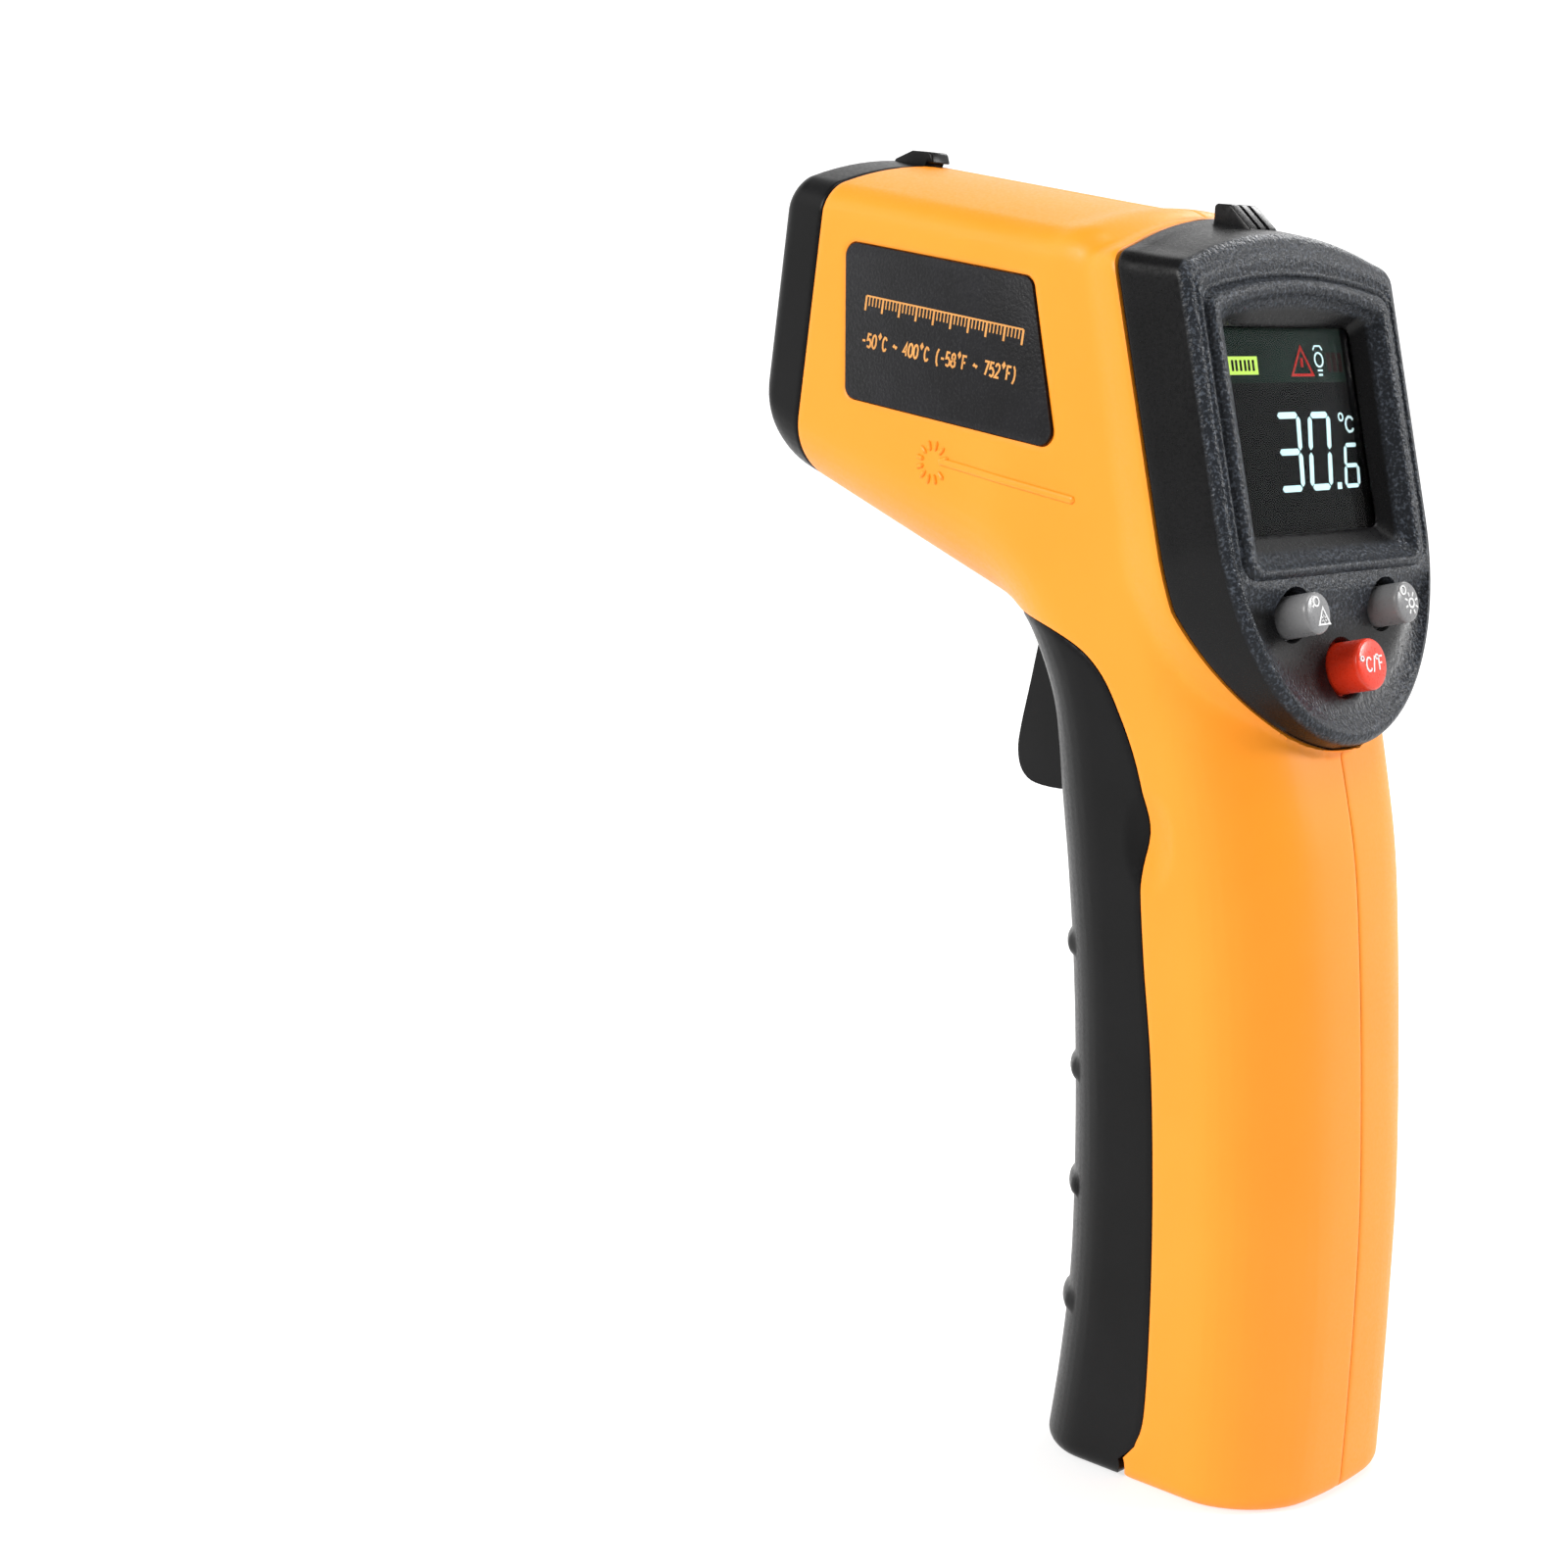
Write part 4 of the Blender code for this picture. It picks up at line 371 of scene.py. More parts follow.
def finished(bm, outwards=True):
    """The bmesh as a mesh, with its faces turned outwards."""
    if outwards:
        bmesh.ops.recalc_face_normals(bm, faces=bm.faces)
        if bm.calc_volume(signed=True) < 0:
            bmesh.ops.reverse_faces(bm, faces=bm.faces)
    mesh = bpy.data.meshes.new("piece")
    bm.to_mesh(mesh)
    bm.free()
    return mesh


def grid_mesh(rings, loop=False):
    """A closed mesh through rings of equally many points; its ends are capped, or joined with loop."""
    rings = np.asarray(rings, float)
    rows, count = rings.shape[:2]
    last = rows if loop else rows - 1
    near = np.arange(last)[:, None] * count
    far = (np.arange(last)[:, None] + 1) % rows * count
    here = np.arange(count)[None, :]
    there = (here + 1) % count
    faces = np.stack([near + here, near + there, far + there, far + here], -1).reshape(-1, 4).tolist()
    if not loop:
        faces += [list(range(count - 1, -1, -1)), list(range((rows - 1) * count, rows * count))]
    mesh = bpy.data.meshes.new("grid")
    mesh.from_pydata(rings.reshape(-1, 3).tolist(), [], faces)
    bm = bmesh.new()
    bm.from_mesh(mesh)
    return finished(bm)


def prism_mesh(outline, low, high, place):
    """A flat outline (2D points) extruded from low to high along the local Z of place."""
    bm = bmesh.new()
    rows = [[bm.verts.new(place @ Vector((u, v, w))) for u, v in outline] for w in (low, high)]
    for i in range(len(outline)):
        j = (i + 1) % len(outline)
        bm.faces.new((rows[0][i], rows[0][j], rows[1][j], rows[1][i]))
    bmesh.ops.triangulate(bm, faces=[bm.faces.new(rows[0][::-1]), bm.faces.new(rows[1])])
    return finished(bm)


def box_mesh(low, high, place=Matrix.Identity(4)):
    (x0, y0, z0), (x1, y1, z1) = low, high
    return prism_mesh([(x0, y0), (x1, y0), (x1, y1), (x0, y1)], z0, z1, place)


def side_prism(points, half_width=FAR):
    """A prism across the body from points in the XZ plane."""
    return prism_mesh(points, -half_width, half_width, SIDE_VIEW)


def rod_mesh(centre, start, end, radius):
    """A round bar across the body through centre, between two values of y."""
    turn = Vector((0, end - start, 0)).to_track_quat("Z", "Y").to_matrix().to_4x4()
    middle = Matrix.Translation((centre.x, (start + end) / 2, centre.z))
    bm = bmesh.new()
    bmesh.ops.create_cone(bm, cap_ends=True, segments=48, radius1=radius, radius2=radius,
                          depth=abs(end - start),
                          matrix=middle @ turn)
    return finished(bm, outwards=False)


def turned_mesh(profile, place, sides=72):
    """A profile of (radius, height), mm, turned round the local Z of place, from the axis back to it."""
    tiny = 0.01 * MM
    turns = circle(0.0, 0.0, 1.0, sides)
    return grid_mesh([[place @ Vector((max(r, tiny) * x, max(r, tiny) * y, h)) for x, y in turns]
                      for r, h in mm(profile)])


def joined(meshes):
    """Several meshes as one, with no Boolean."""
    bm = bmesh.new()
    for mesh in meshes:
        bm.from_mesh(mesh)
    return finished(bm, outwards=False)


def mirror_image(mesh):
    copy = mesh.copy()
    copy.transform(Matrix.Diagonal((1.0, -1.0, 1.0, 1.0)))
    copy.flip_normals()
    return copy


def modified(mesh, kind, **settings):
    """The mesh after one modifier."""
    obj = new_object("blank", mesh)
    modifier = obj.modifiers.new(kind, kind)
    for name, value in settings.items():
        setattr(modifier, name, value)
    bpy.context.view_layer.update()
    made = bpy.data.meshes.new_from_object(obj.evaluated_get(bpy.context.evaluated_depsgraph_get()))
    bpy.data.objects.remove(obj, do_unlink=True)
    return made


def cut(mesh, *steps):
    """The mesh after Booleans: a bare tool is cut away, and (operation, tool) says otherwise."""
    for step in steps:
        operation, tool = step if isinstance(step, tuple) else ("DIFFERENCE", step)
        blank = new_object("tool", tool)
        mesh = modified(mesh, "BOOLEAN", operation=operation, object=blank, solver="EXACT")
        bpy.data.objects.remove(blank, do_unlink=True)
    return mesh


def bevelled(mesh, width, segments=3, angle=30):
    return modified(mesh, "BEVEL", width=width, segments=segments, limit_method="ANGLE",
                    angle_limit=math.radians(angle))


def vertex_values(mesh, name):
    values = np.empty(len(mesh.vertices) * 3)
    mesh.vertices.foreach_get(name, values)
    return values.reshape(-1, 3)


def put_coordinates(mesh, co):
    mesh.vertices.foreach_set("co", np.ascontiguousarray(co, float).reshape(-1))
    mesh.update()


def relax(mesh, weights, rounds):
    """Laplacian smoothing with a weight for each vertex; weights may alternate in sign to keep the volume."""
    ends = np.empty(len(mesh.edges) * 2, np.int64)
    mesh.edges.foreach_get("vertices", ends)
    first, other = ends.reshape(-1, 2).T
    count = len(mesh.vertices)
    degree = np.bincount(first, minlength=count) + np.bincount(other, minlength=count)
    co = vertex_values(mesh, "co")
    for i in range(rounds):
        sums = [np.bincount(first, co[other, k], count) + np.bincount(other, co[first, k],
                                                                      count) for k in range(3)]
        mean = np.stack(sums, 1) / np.maximum(degree, 1)[:, None]
        co += (mean - co) * weights[i % len(weights)][:, None]
    put_coordinates(mesh, co)


def place_piece(name, mesh, body, surface, replaces=(), sharp=35):
    """Finish a mesh as a visible piece: material, shading, place, body and the nodes it stands for."""
    mesh.materials.clear()
    mesh.materials.append(SURFACES[surface])
    mesh.transform(Matrix.Translation(SHIFT))
    mesh.shade_smooth()
    mesh.set_sharp_from_angle(angle=math.radians(sharp))
    piece = new_object(name, mesh)
    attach(piece, body)
    if replaces:
        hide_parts(*replaces)


# ---- Outlines
def circle(centre_x, centre_y, radius, steps=24):
    angles = [2 * math.pi * i / steps for i in range(steps)]
    return [(centre_x + radius * math.cos(t), centre_y + radius * math.sin(t)) for t in angles]


def arc(centre_u, centre_v, radius, from_deg, to_deg, steps):
    angles = [math.radians(from_deg + (to_deg - from_deg) * i / steps) for i in range(steps + 1)]
    return [(centre_u + radius * math.cos(t), centre_v + radius * math.sin(t)) for t in angles]


def mirrored(half):
    """A closed outline from its right half, which starts and ends on u = 0."""
    return half + [(-u, v) for u, v in half[-2:0:-1]]


def polar(outline, centre):
    """A closed outline resampled where rays from the centre cross it."""
    points = np.array(outline) - centre
    following = np.roll(points, -1, axis=0)
    made = []
    for angle in LOOP_ANGLES:
        along = np.array((math.cos(angle), math.sin(angle)))
        across = np.array((-along[1], along[0]))
        left, right = points @ across, following @ across
        crossing = np.nonzero((left > 0) != (right > 0))[0]
        share = left[crossing] / (left[crossing] - right[crossing])
        reach = (points[crossing] + (following - points)[crossing] * share[:, None]) @ along
        made.append(centre + along * reach.max())
    return np.array(made)


def smooth_step(value, start, end):
    t = np.clip((value - start) / (end - start), 0, 1)
    return t * t * (3 - 2 * t)


def smooth_rows(rows, steps):
    """Catmull-Rom rows through the given ones."""
    rows = np.array(rows, float)
    ends = np.vstack([2 * rows[0] - rows[1], rows, 2 * rows[-1] - rows[-2]])
    made = []
    for p0, p1, p2, p3 in zip(ends, ends[1:], ends[2:], ends[3:]):
        for i in range(steps):
            t = i / steps
            made.append((2 * p1 + (p2 - p0) * t + (2 * p0 - 5 * p1 + 4 * p2 - p3) * t ** 2
                         + (3 * p1 - p0 - 3 * p2 + p3) * t ** 3) / 2)
    made.append(rows[-1])
    return np.array(made)


def section_ring(row, inset=0.0):
    """One section of the body, a rounded rectangle with crowned ends.

    row = (front x, z, rear x, z, half width, two radii, two arches).
    """
    low, high = Vector((row[0], 0.0, row[1])), Vector((row[2], 0.0, row[3]))
    up = (high - low).normalized()
    height, width = (high - low).length - 2 * inset, row[4] - inset
    low_radius, high_radius = max(row[5] - inset, LEAST_RADIUS), max(row[6] - inset, LEAST_RADIUS)
    side_top = height - high_radius
    half = [(i / ARCH_STEPS * (width - high_radius), height) for i in range(ARCH_STEPS)]
    half += arc(width - high_radius, side_top, high_radius, 90, 0, CORNER_STEPS)
    half += [(width, side_top + (low_radius - side_top) * i / SIDE_STEPS) for i in range(1, SIDE_STEPS)]
    half += arc(width - low_radius, low_radius, low_radius, 0, -90, CORNER_STEPS)
    half += [((width - low_radius) * (1 - i / ARCH_STEPS), 0.0) for i in range(1, ARCH_STEPS + 1)]
    start = low + up * inset
    ring = []
    for u, v in mirrored(half):
        bow, share = (u / width) ** 2, v / height
        ring.append(start + up * (v - row[8] * bow * share + row[7] * bow * (1 - share)) + ACROSS * u)
    return ring


def barrel_row(a, edge=0.0, chin=0.0):
    """A section square to the barrel axis; edge and chin draw it in at the nose."""
    low = barrel_point(a, UNDERSIDE_B + UNDERSIDE_RISE * a + chin)
    high = barrel_point(a, TOP_B + TOP_RISE * a - edge)
    low_radius = LOW_RADIUS_AT_NOSE + LOW_RADIUS_GROWTH * (NOSE_A - a)
    width = BARREL_HALF_WIDTH - BARREL_TAPER * a - edge
    return (low.x, low.z, high.x, high.z, width, low_radius, 3.0 * MM, 1.0 * MM, 3.5 * MM)


def edge_inset(radius, depth):
    """How far a rounded edge has drawn in at this depth below the end face."""
    return 0.0 if depth >= radius else radius - math.sqrt(radius ** 2 - (radius - depth) ** 2)


ROWS = smooth_rows([barrel_row(a * MM) for a in (60, 51, 42, 34, 28, 24)] + mm(GRIP_STATIONS), ROW_STEPS)


def row_at(height):
    """The row at a height in the straight lower grip."""
    lower = ROWS[-3 * ROW_STEPS:]
    return np.array([np.interp(height, lower[::-1, 1], lower[::-1, i]) for i in range(lower.shape[1])])


def body_rings(inset=0.0):
    floor = max(inset, BASE_EDGE_RADIUS)
    rings = [section_ring(row, inset) for row in ROWS if row[1] > floor + 0.2 * MM]
    if inset:
        return rings + [section_ring(row_at(inset), inset)]
    for share in (1.0, 0.8, 0.6, 0.42, 0.27, 0.15, 0.06, 0.0):
        height = BASE_EDGE_RADIUS * share
        rings.append(section_ring(row_at(height), edge_inset(BASE_EDGE_RADIUS, height)))
    return rings


def core_mesh(inset):
    """The body's inside at a depth under the skin."""
    rings = body_rings(inset)
    return grid_mesh(rings[::3] + rings[-1:])


def tongue_outline(inset, depth=0.0):
    """The display face's outline at a depth: arched top, straight sides and an elliptic tongue, (y, s)."""
    width, top = FACE_HALF_WIDTH - inset, FACE_TOP + TOP_GROWTH * depth - inset
    radius = max(FACE_CORNER_RADIUS - inset, LEAST_RADIUS)
    arch = FACE_ARCH + ARCH_GROWTH * TOP_GROWTH * depth
    shares = [i / 12 for i in range(12)]
    half = [((width - radius) * share, top - arch * share ** 2) for share in shares]
    half += arc(width - radius, top - arch - radius, radius, 90 - 14, 0, 8)
    half += [(width, s * MM) for s in (25, 20, 15, 10, 6)]
    tall = TONGUE_START - TONGUE_BOTTOM - inset
    angles = [math.pi / 2 * i / TONGUE_STEPS for i in range(TONGUE_STEPS + 1)]
    half += [(width * math.cos(t), TONGUE_START - tall * math.sin(t)) for t in angles]
    return mirrored(half)


def collar_mesh(profile):
    return grid_mesh([[face_point(y, s, off) for y, s in tongue_outline(inset, max(-off, 0.0))]
                      for inset, off in mm(profile)])


def seam_off(s):
    """Depth of the bezel seam behind the face at height s."""
    share = np.clip((SEAM_STRAIGHT_TO - s) / (SEAM_STRAIGHT_TO - TONGUE_BOTTOM), 0, 1)
    return -BEZEL_DEPTH + (BEZEL_DEPTH - BEZEL_TIP_DEPTH) * share ** 1.1


def outer_form():
    """The whole outside of body, bezel and door as one even, smooth mesh."""
    form = joined([grid_mesh(body_rings()), collar_mesh(COLLAR_PROFILE)])
    mesh = modified(form, "REMESH", mode="VOXEL", voxel_size=VOXEL)
    co = vertex_values(mesh, "co")
    even = np.ones(len(co))
    relax(mesh, (even * 0.5, even * -0.52), 8)
    local = co - np.array(FACE_ORIGIN)
    off, s = local @ np.array(FACE_OUT), local @ np.array(FACE_UP)
    crease = CREASE_OFF + np.clip(-2.0 * MM - s, 0, 20 * MM) * 0.35
    weight = 0.5 * np.exp(-((off - crease) / CREASE_WIDTH) ** 2) * (off < seam_off(s) - 0.8 * MM)
    relax(mesh, (weight,), CREASE_ROUNDS)
    co, out = vertex_values(mesh, "co"), vertex_values(mesh, "normal")
    push = np.zeros(len(co))
    front = (co[:, 0] < RIB_ZONE_X) & (co[:, 2] < RIB_ZONE_Z)
    reach = np.clip((RIB_REACH - abs(co[:, 1])) / RIB_TAPER, 0, 1)
    for height in RIB_HEIGHTS:
        near = np.clip(1 - ((co[:, 2] - height) / RIB_HALF_WIDTH) ** 2, 0, 1)
        push += np.where(front, RIB_RISE * np.sqrt(near) * reach, 0.0)
    away = ((co[:, 0] - SCOOP_X) / SCOOP_HALF_WIDTH) ** 2 + ((co[:, 2] - SCOOP_Z) / SCOOP_HALF_HEIGHT) ** 2
    push -= np.where(abs(co[:, 1]) > SCOOP_FROM_Y, SCOOP_DEPTH * np.clip(1 - away, 0, 1) ** 1.5, 0.0)
    co += out * push[:, None]
    co[:, 2] = np.maximum(co[:, 2], 0.0)
    put_coordinates(mesh, co)
    return mesh


# ---- Zones that part the form
def nose_zone(a):
    corners = [barrel_point(a, FAR), barrel_point(a + FAR, FAR), barrel_point(a + FAR, 200 * MM),
               barrel_point(a, 200 * MM)]
    return side_prism([(p.x, p.z) for p in corners])


def bezel_line(shift):
    places = [(FAR, 0.0)]
    steps = 24
    for i in range(steps + 1):
        s = SEAM_STRAIGHT_TO + (TONGUE_BOTTOM - SEAM_STRAIGHT_TO) * i / steps
        places.append((s, s))
    points = [face_point(0, s, seam_off(at) + shift) for s, at in places]
    return [(p.x, p.z) for p in points]


def bezel_zone(shift):
    low = TONGUE_BOTTOM - 0.3 * MM + shift
    tail = [face_point(0, low, -1.0 * MM), face_point(0, low, FAR), face_point(0, FAR, FAR)]
    return side_prism(bezel_line(shift) + [(p.x, p.z) for p in tail])


def door_line(shift):
    seam = smooth_rows([(x - shift, z - shift * 0.6) for x, z in mm(DOOR_SEAM)], 6)
    radius = KNUCKLE_RADIUS - shift if shift > 0 else HINGE_RELIEF_RADIUS
    return [tuple(p) for p in seam] + arc(HINGE.x, HINGE.z, radius, 25, -90, 8)


def door_zone(shift):
    line = door_line(shift)
    start = [(-FAR, line[0][1] + 3 * MM), (line[0][0] - 4 * MM, line[0][1] + 0.4 * MM)]
    return side_prism(start + line + [(HINGE.x, -FAR), (-FAR, -FAR)])


def distance_to_line(points, line):
    """Distance of 2D points to an open polyline."""
    best = np.full(len(points), 1.0)
    for start, end in zip(line, line[1:]):
        start, along = np.array(start), np.array(end) - np.array(start)
        share = np.clip(((points - start) @ along) / max(along @ along, 1e-12), 0, 1)
        best = np.minimum(best, np.linalg.norm(points - start - share[:, None] * along, axis=1))
    return best


def case_seams(co):
    """Distances of points to each seam of a case half, with the label's pocket."""
    along = np.stack([co @ np.array(AXIS_A), co @ np.array(AXIS_B)], 1)
    outline = label_outline(POCKET_GROWTH)
    return door_seams(co) + [abs(co[:, 1]) * 1.6, distance_to_line(along, outline + outline[:1])]


def door_seams(co):
    flat = co[:, [0, 2]]
    return [abs(co @ np.array(AXIS_A) - CAP_SEAM_A), distance_to_line(flat, bezel_line(0.0)),
            distance_to_line(flat, door_line(0.0))]


def soften_lips(mesh, distances, depth=0.16 * MM, width=0.55 * MM):
    """Draw the skin in where it meets a seam, so that each parting edge is rounded over."""
    co = vertex_values(mesh, "co")
    nearest = np.min(distances(co), axis=0)
    for i in np.nonzero(nearest < width)[0]:
        _, normal, _, gap = SKIN.find_nearest(Vector(co[i]))
        if gap < 0.03 * MM:
            co[i] -= np.array(normal) * depth * (1 - nearest[i] / width) ** 2
    put_coordinates(mesh, co)


def rounded(corners, radius, steps=8):
    """A polygon with its corners rounded by arcs."""
    points = []
    for i, corner in enumerate(map(Vector, corners)):
        before = (Vector(corners[i - 1]) - corner).normalized()
        after = (Vector(corners[(i + 1) % len(corners)]) - corner).normalized()
        half_angle = before.angle(after) / 2
        centre = corner + (before + after).normalized() * (radius / math.sin(half_angle))
        first = corner + before * (radius / math.tan(half_angle)) - centre
        last = corner + after * (radius / math.tan(half_angle)) - centre
        for k in range(steps + 1):
            points.append(tuple(centre + first.lerp(last, k / steps).normalized() * radius))
    return points


def label_outline(grow):
    outline = rounded(mm(LABEL_CORNERS), LABEL_RADIUS)
    centre = Vector(np.mean(outline, axis=0))
    return [tuple(Vector(p) + (Vector(p) - centre).normalized() * grow) for p in outline]


def label_slab(side, rings):
    """The label's outline as a slab on the barrel side, through rings of (height, growth)."""
    return grid_mesh([[barrel_point(a, b, side_plane(a, side) + side * height) for a,
                       b in label_outline(grow)]
                      for height, grow in rings])


# ---- Case halves and battery door
OUTER = outer_form()
CAVITY, COLLAR_CAVITY = core_mesh(WALL), collar_mesh(COLLAR_HOLLOW)
SKIN = BVHTree.FromPolygons([v.co for v in OUTER.vertices], [p.vertices for p in OUTER.polygons])


def screw_centre(number):
    low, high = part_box(f"case_screw_{number}")
    return (low + high) / 2 - SHIFT


def inner_details():
    """Screw and trigger bosses, ribs and hinge ears of the left half, clipped to the inside of the wall."""
    gap = 0.15 * MM
    bosses = [(screw_centre(i), BOSS_RADIUS, gap) for i in range(1, SCREW_COUNT + 1)]
    bosses.append((TRIGGER_PIVOT, TRIGGER_BOSS_RADIUS, TRIGGER_HALF_WIDTH + 0.6 * MM))
    inside = core_mesh(WALL - 0.5 * MM)
    made = []
    for centre, radius, start in bosses:
        bore = rod_mesh(centre, -start + 2 * MM, -13 * MM, BOSS_BORE_RADIUS)
        made.append(cut(rod_mesh(centre, -start, -FAR, radius), ("INTERSECT", inside.copy()), bore))
    for (x0, z0), (x1, z1) in map(mm, RIBS):
        made.append(cut(box_mesh((x0, -FAR, z0), (x1, -gap, z1)), ("INTERSECT", inside.copy())))
    ear = rod_mesh(HINGE, -EAR_END, -EAR_START, EAR_RADIUS)
    arm = box_mesh((HINGE.x, -EAR_END, HINGE.z - 1 * MM), (22 * MM, -EAR_START, HINGE.z + 1 * MM))
    made.append(cut(ear, ("UNION", arm), rod_mesh(HINGE, -EAR_END - 1 * MM, 0.0, PIN_HOLE_RADIUS)))
    return made


def case_halves():
    half = box_mesh((-3 * FAR, -FAR, -FAR), (3 * FAR, -HALF_GAP, 4 * FAR))
    pocket = label_slab(-1, [(-0.7 * MM, POCKET_GROWTH), (5 * MM, POCKET_GROWTH)])
    left = cut(OUTER.copy(), ("INTERSECT", half), CAVITY, COLLAR_CAVITY, nose_zone(CAP_SEAM_A - SEAM_GAP / 2),
               bezel_zone(-SEAM_GAP / 2), door_zone(-SEAM_GAP / 2), pocket)
    soften_lips(left, case_seams)
    left = cut(left, *(("UNION", detail) for detail in inner_details()))
    wells = [rod_mesh(screw_centre(i), 11.1 * MM, 30 * MM, SCREW_WELL_RADIUS) for i in range(1,
                                                                                             SCREW_COUNT + 1)]
    right = cut(mirror_image(left), *wells)
    place_piece("case_left", left, "case", "yellow_case", replaces=["left_body_shell"])
    place_piece("case_right", right, "case", "yellow_case", replaces=["right_body_shell"])


def battery_door():
    """The front of the grip, with the trigger's slot, the hinge knuckle and notches for the case's ears."""
    front, top = -30 * MM, 110 * MM
    slot = side_prism([(front, SLOT_BOTTOM), (SLOT_REAR, SLOT_BOTTOM), (SLOT_REAR, top), (front, top)],
                      SLOT_HALF_WIDTH)
    door = cut(OUTER.copy(), CAVITY, ("INTERSECT", door_zone(SEAM_GAP / 2)), slot)
    soften_lips(door, door_seams)
    notch, play = 2.4 * MM, 0.3 * MM
    tools = [("UNION", rod_mesh(HINGE, -KNUCKLE_HALF_LENGTH, KNUCKLE_HALF_LENGTH, KNUCKLE_RADIUS))]
    for side in (-1, 1):
        start, end = sorted((side * (EAR_START - play), side * (EAR_END + play)))
        tools.append(box_mesh((HINGE.x - notch, start, -1 * MM), (30 * MM, end, HINGE.z + notch)))
    tools.append(rod_mesh(HINGE, -EAR_END - play, EAR_END + play, PIN_HOLE_RADIUS))
    place_piece("battery_door_skin", cut(door, *tools), "battery_door", "black_trim",
                replaces=["battery_door"])


# ---- Display bezel
FACE_CENTRE = np.array((0.0, 13.0 * MM))


def opening(half_width, bottom, top, arch, radius):
    """A rounded opening whose top edge is bowed, as a polar outline, (y, s)."""
    half = [((half_width - radius) * i / 12, top + arch * (1 - (i / 12) ** 2)) for i in range(12)]
    half += arc(half_width - radius, top - radius, radius, 84, 0, 8)
    half += arc(half_width - radius, bottom + radius, radius, 0, -90, 8)
    half += [((half_width - radius) * (1 - i / 12), bottom) for i in range(1, 13)]
    return polar(mirrored(half), FACE_CENTRE)


def tongue(inset, depth=0.0):
    return polar(tongue_outline(inset, depth), FACE_CENTRE)


def bezel_rings():
    """The bezel from the seam over the rim, the dished panel and the frame to the window seat and its back."""
    rings = []

    def add(outline, off):
        depths = np.broadcast_to(off, len(outline))
        rings.append([face_point(y, s, depth) for (y, s), depth in zip(outline, depths)])

    gap = SEAM_GAP / 2
    for back, inset in mm([(0.0, 0.22), (0.08, 0.1), (0.25, 0.02), (0.5, 0.0)]):      # lip at the seam
        ring = tongue(inset - BEZEL_DRAFT, BEZEL_DEPTH)
        add(ring, seam_off(ring[:, 1]) + gap + back)
    for share in (0.25, 0.5, 0.75):                                                   # skirt
        ring = tongue(-BEZEL_DRAFT * (1 - share), BEZEL_DEPTH * (1 - share) + RIM_RADIUS * share)
        add(ring, seam_off(ring[:, 1]) * (1 - share) - RIM_RADIUS * share)
    for i in range(9):                                                                # rounded rim
        angle = math.pi / 2 * i / 8
        depth = RIM_RADIUS * (1 - math.sin(angle))
        add(tongue(RIM_RADIUS * (1 - math.cos(angle)), depth), -depth)
    rim = tongue(RIM_RADIUS)
    groove = opening(OPENING_HALF_WIDTH + GROOVE_GROW, FRAME_BOTTOM - 0.5 * MM, OPENING_TOP + GROOVE_GROW,
                     1.5 * MM, 2.4 * MM)
    for share in (0.04, 0.1, 0.18, 0.27, 0.36, 0.45, 0.55, 0.64, 0.73, 0.82, 0.9, 0.96, 1.0):      # panel
        ring = rim + (groove - rim) * share
        crown = 0.25 * MM * math.sin(math.pi * min(share * 1.15, 1.0))
        hollow = DISH_DEPTH * math.sin(math.pi * min(share * 1.12, 1.0)) ** 0.7
        down = -ring[:, 1]
        add(ring, crown * (1 - smooth_step(down, -2 * MM, 3 * MM)) - hollow * smooth_step(down, 2.2 * MM,
                                                                                          6.5 * MM))
    for grow, off, up in mm(FRAME_STEPS):
        add(opening(OPENING_HALF_WIDTH + grow, FRAME_BOTTOM + up + 0.2 * MM, OPENING_TOP + grow,
                    OPENING_ARCH - grow * 0.12, 1.2 * MM + grow * 0.46), off)
    wide = opening(OPENING_HALF_WIDTH, -0.6 * MM, OPENING_TOP, OPENING_ARCH, 1.2 * MM)
    seat = opening(GLASS_HALF_WIDTH, GLASS_BOTTOM, GLASS_TOP, 0.0, 1.3 * MM)
    for share in (0.04, 0.15, 0.5, 0.85, 0.97):                                       # funnel
        add(wide + (seat - wide) * share, -0.05 * MM - 2.2 * MM * share)
    add(seat, -2.32 * MM)
    add(seat, -2.42 * MM)
    plate_back = -2.45 * MM
    behind = tongue(WALL)
    for share in (0.1, 0.5, 1.0):
        add(seat + (behind - seat) * share, plate_back)
    for share in (0.5, 1.0):
        add(behind, plate_back + (seam_off(behind[:, 1]) + gap - plate_back) * share)
    return rings


def rear_sight():
    """The block on top of the bezel: a steep front and a grooved rear slope."""
    block = bevelled(side_prism(mm(REAR_SIGHT_SIDE), REAR_SIGHT_HALF_WIDTH), 0.22 * MM)
    places = [Matrix.Translation((0, y, 0)) @ SIDE_VIEW for y in (-REAR_SIGHT_HALF_WIDTH / 3,
                                                                  REAR_SIGHT_HALF_WIDTH / 3)]
    return cut(block, *(prism_mesh(mm(SIGHT_GROOVE_SIDE), -SIGHT_GROOVE_HALF_WIDTH, SIGHT_GROOVE_HALF_WIDTH,
                                   place)
                        for place in places))


def rear_bezel():
    steps = [("UNION", rear_sight())]
    dish = -DISH_DEPTH / MM
    for y, s, radius, _ in BUTTONS.values():
        r = radius / MM + 0.25
        hole = [(0.0, -4.0), (r, -4.0), (r, dish - 0.25), (r + 0.65, dish + 0.5), (r + 0.65, 3.0), (0.0, 3.0)]
        steps.append(turned_mesh(hole, face_matrix(y, s)))
    bezel = cut(grid_mesh(bezel_rings(), loop=True), *steps)
    place_piece("bezel_face", bezel, "case", "bezel", replaces=["rear_bezel"], sharp=42)


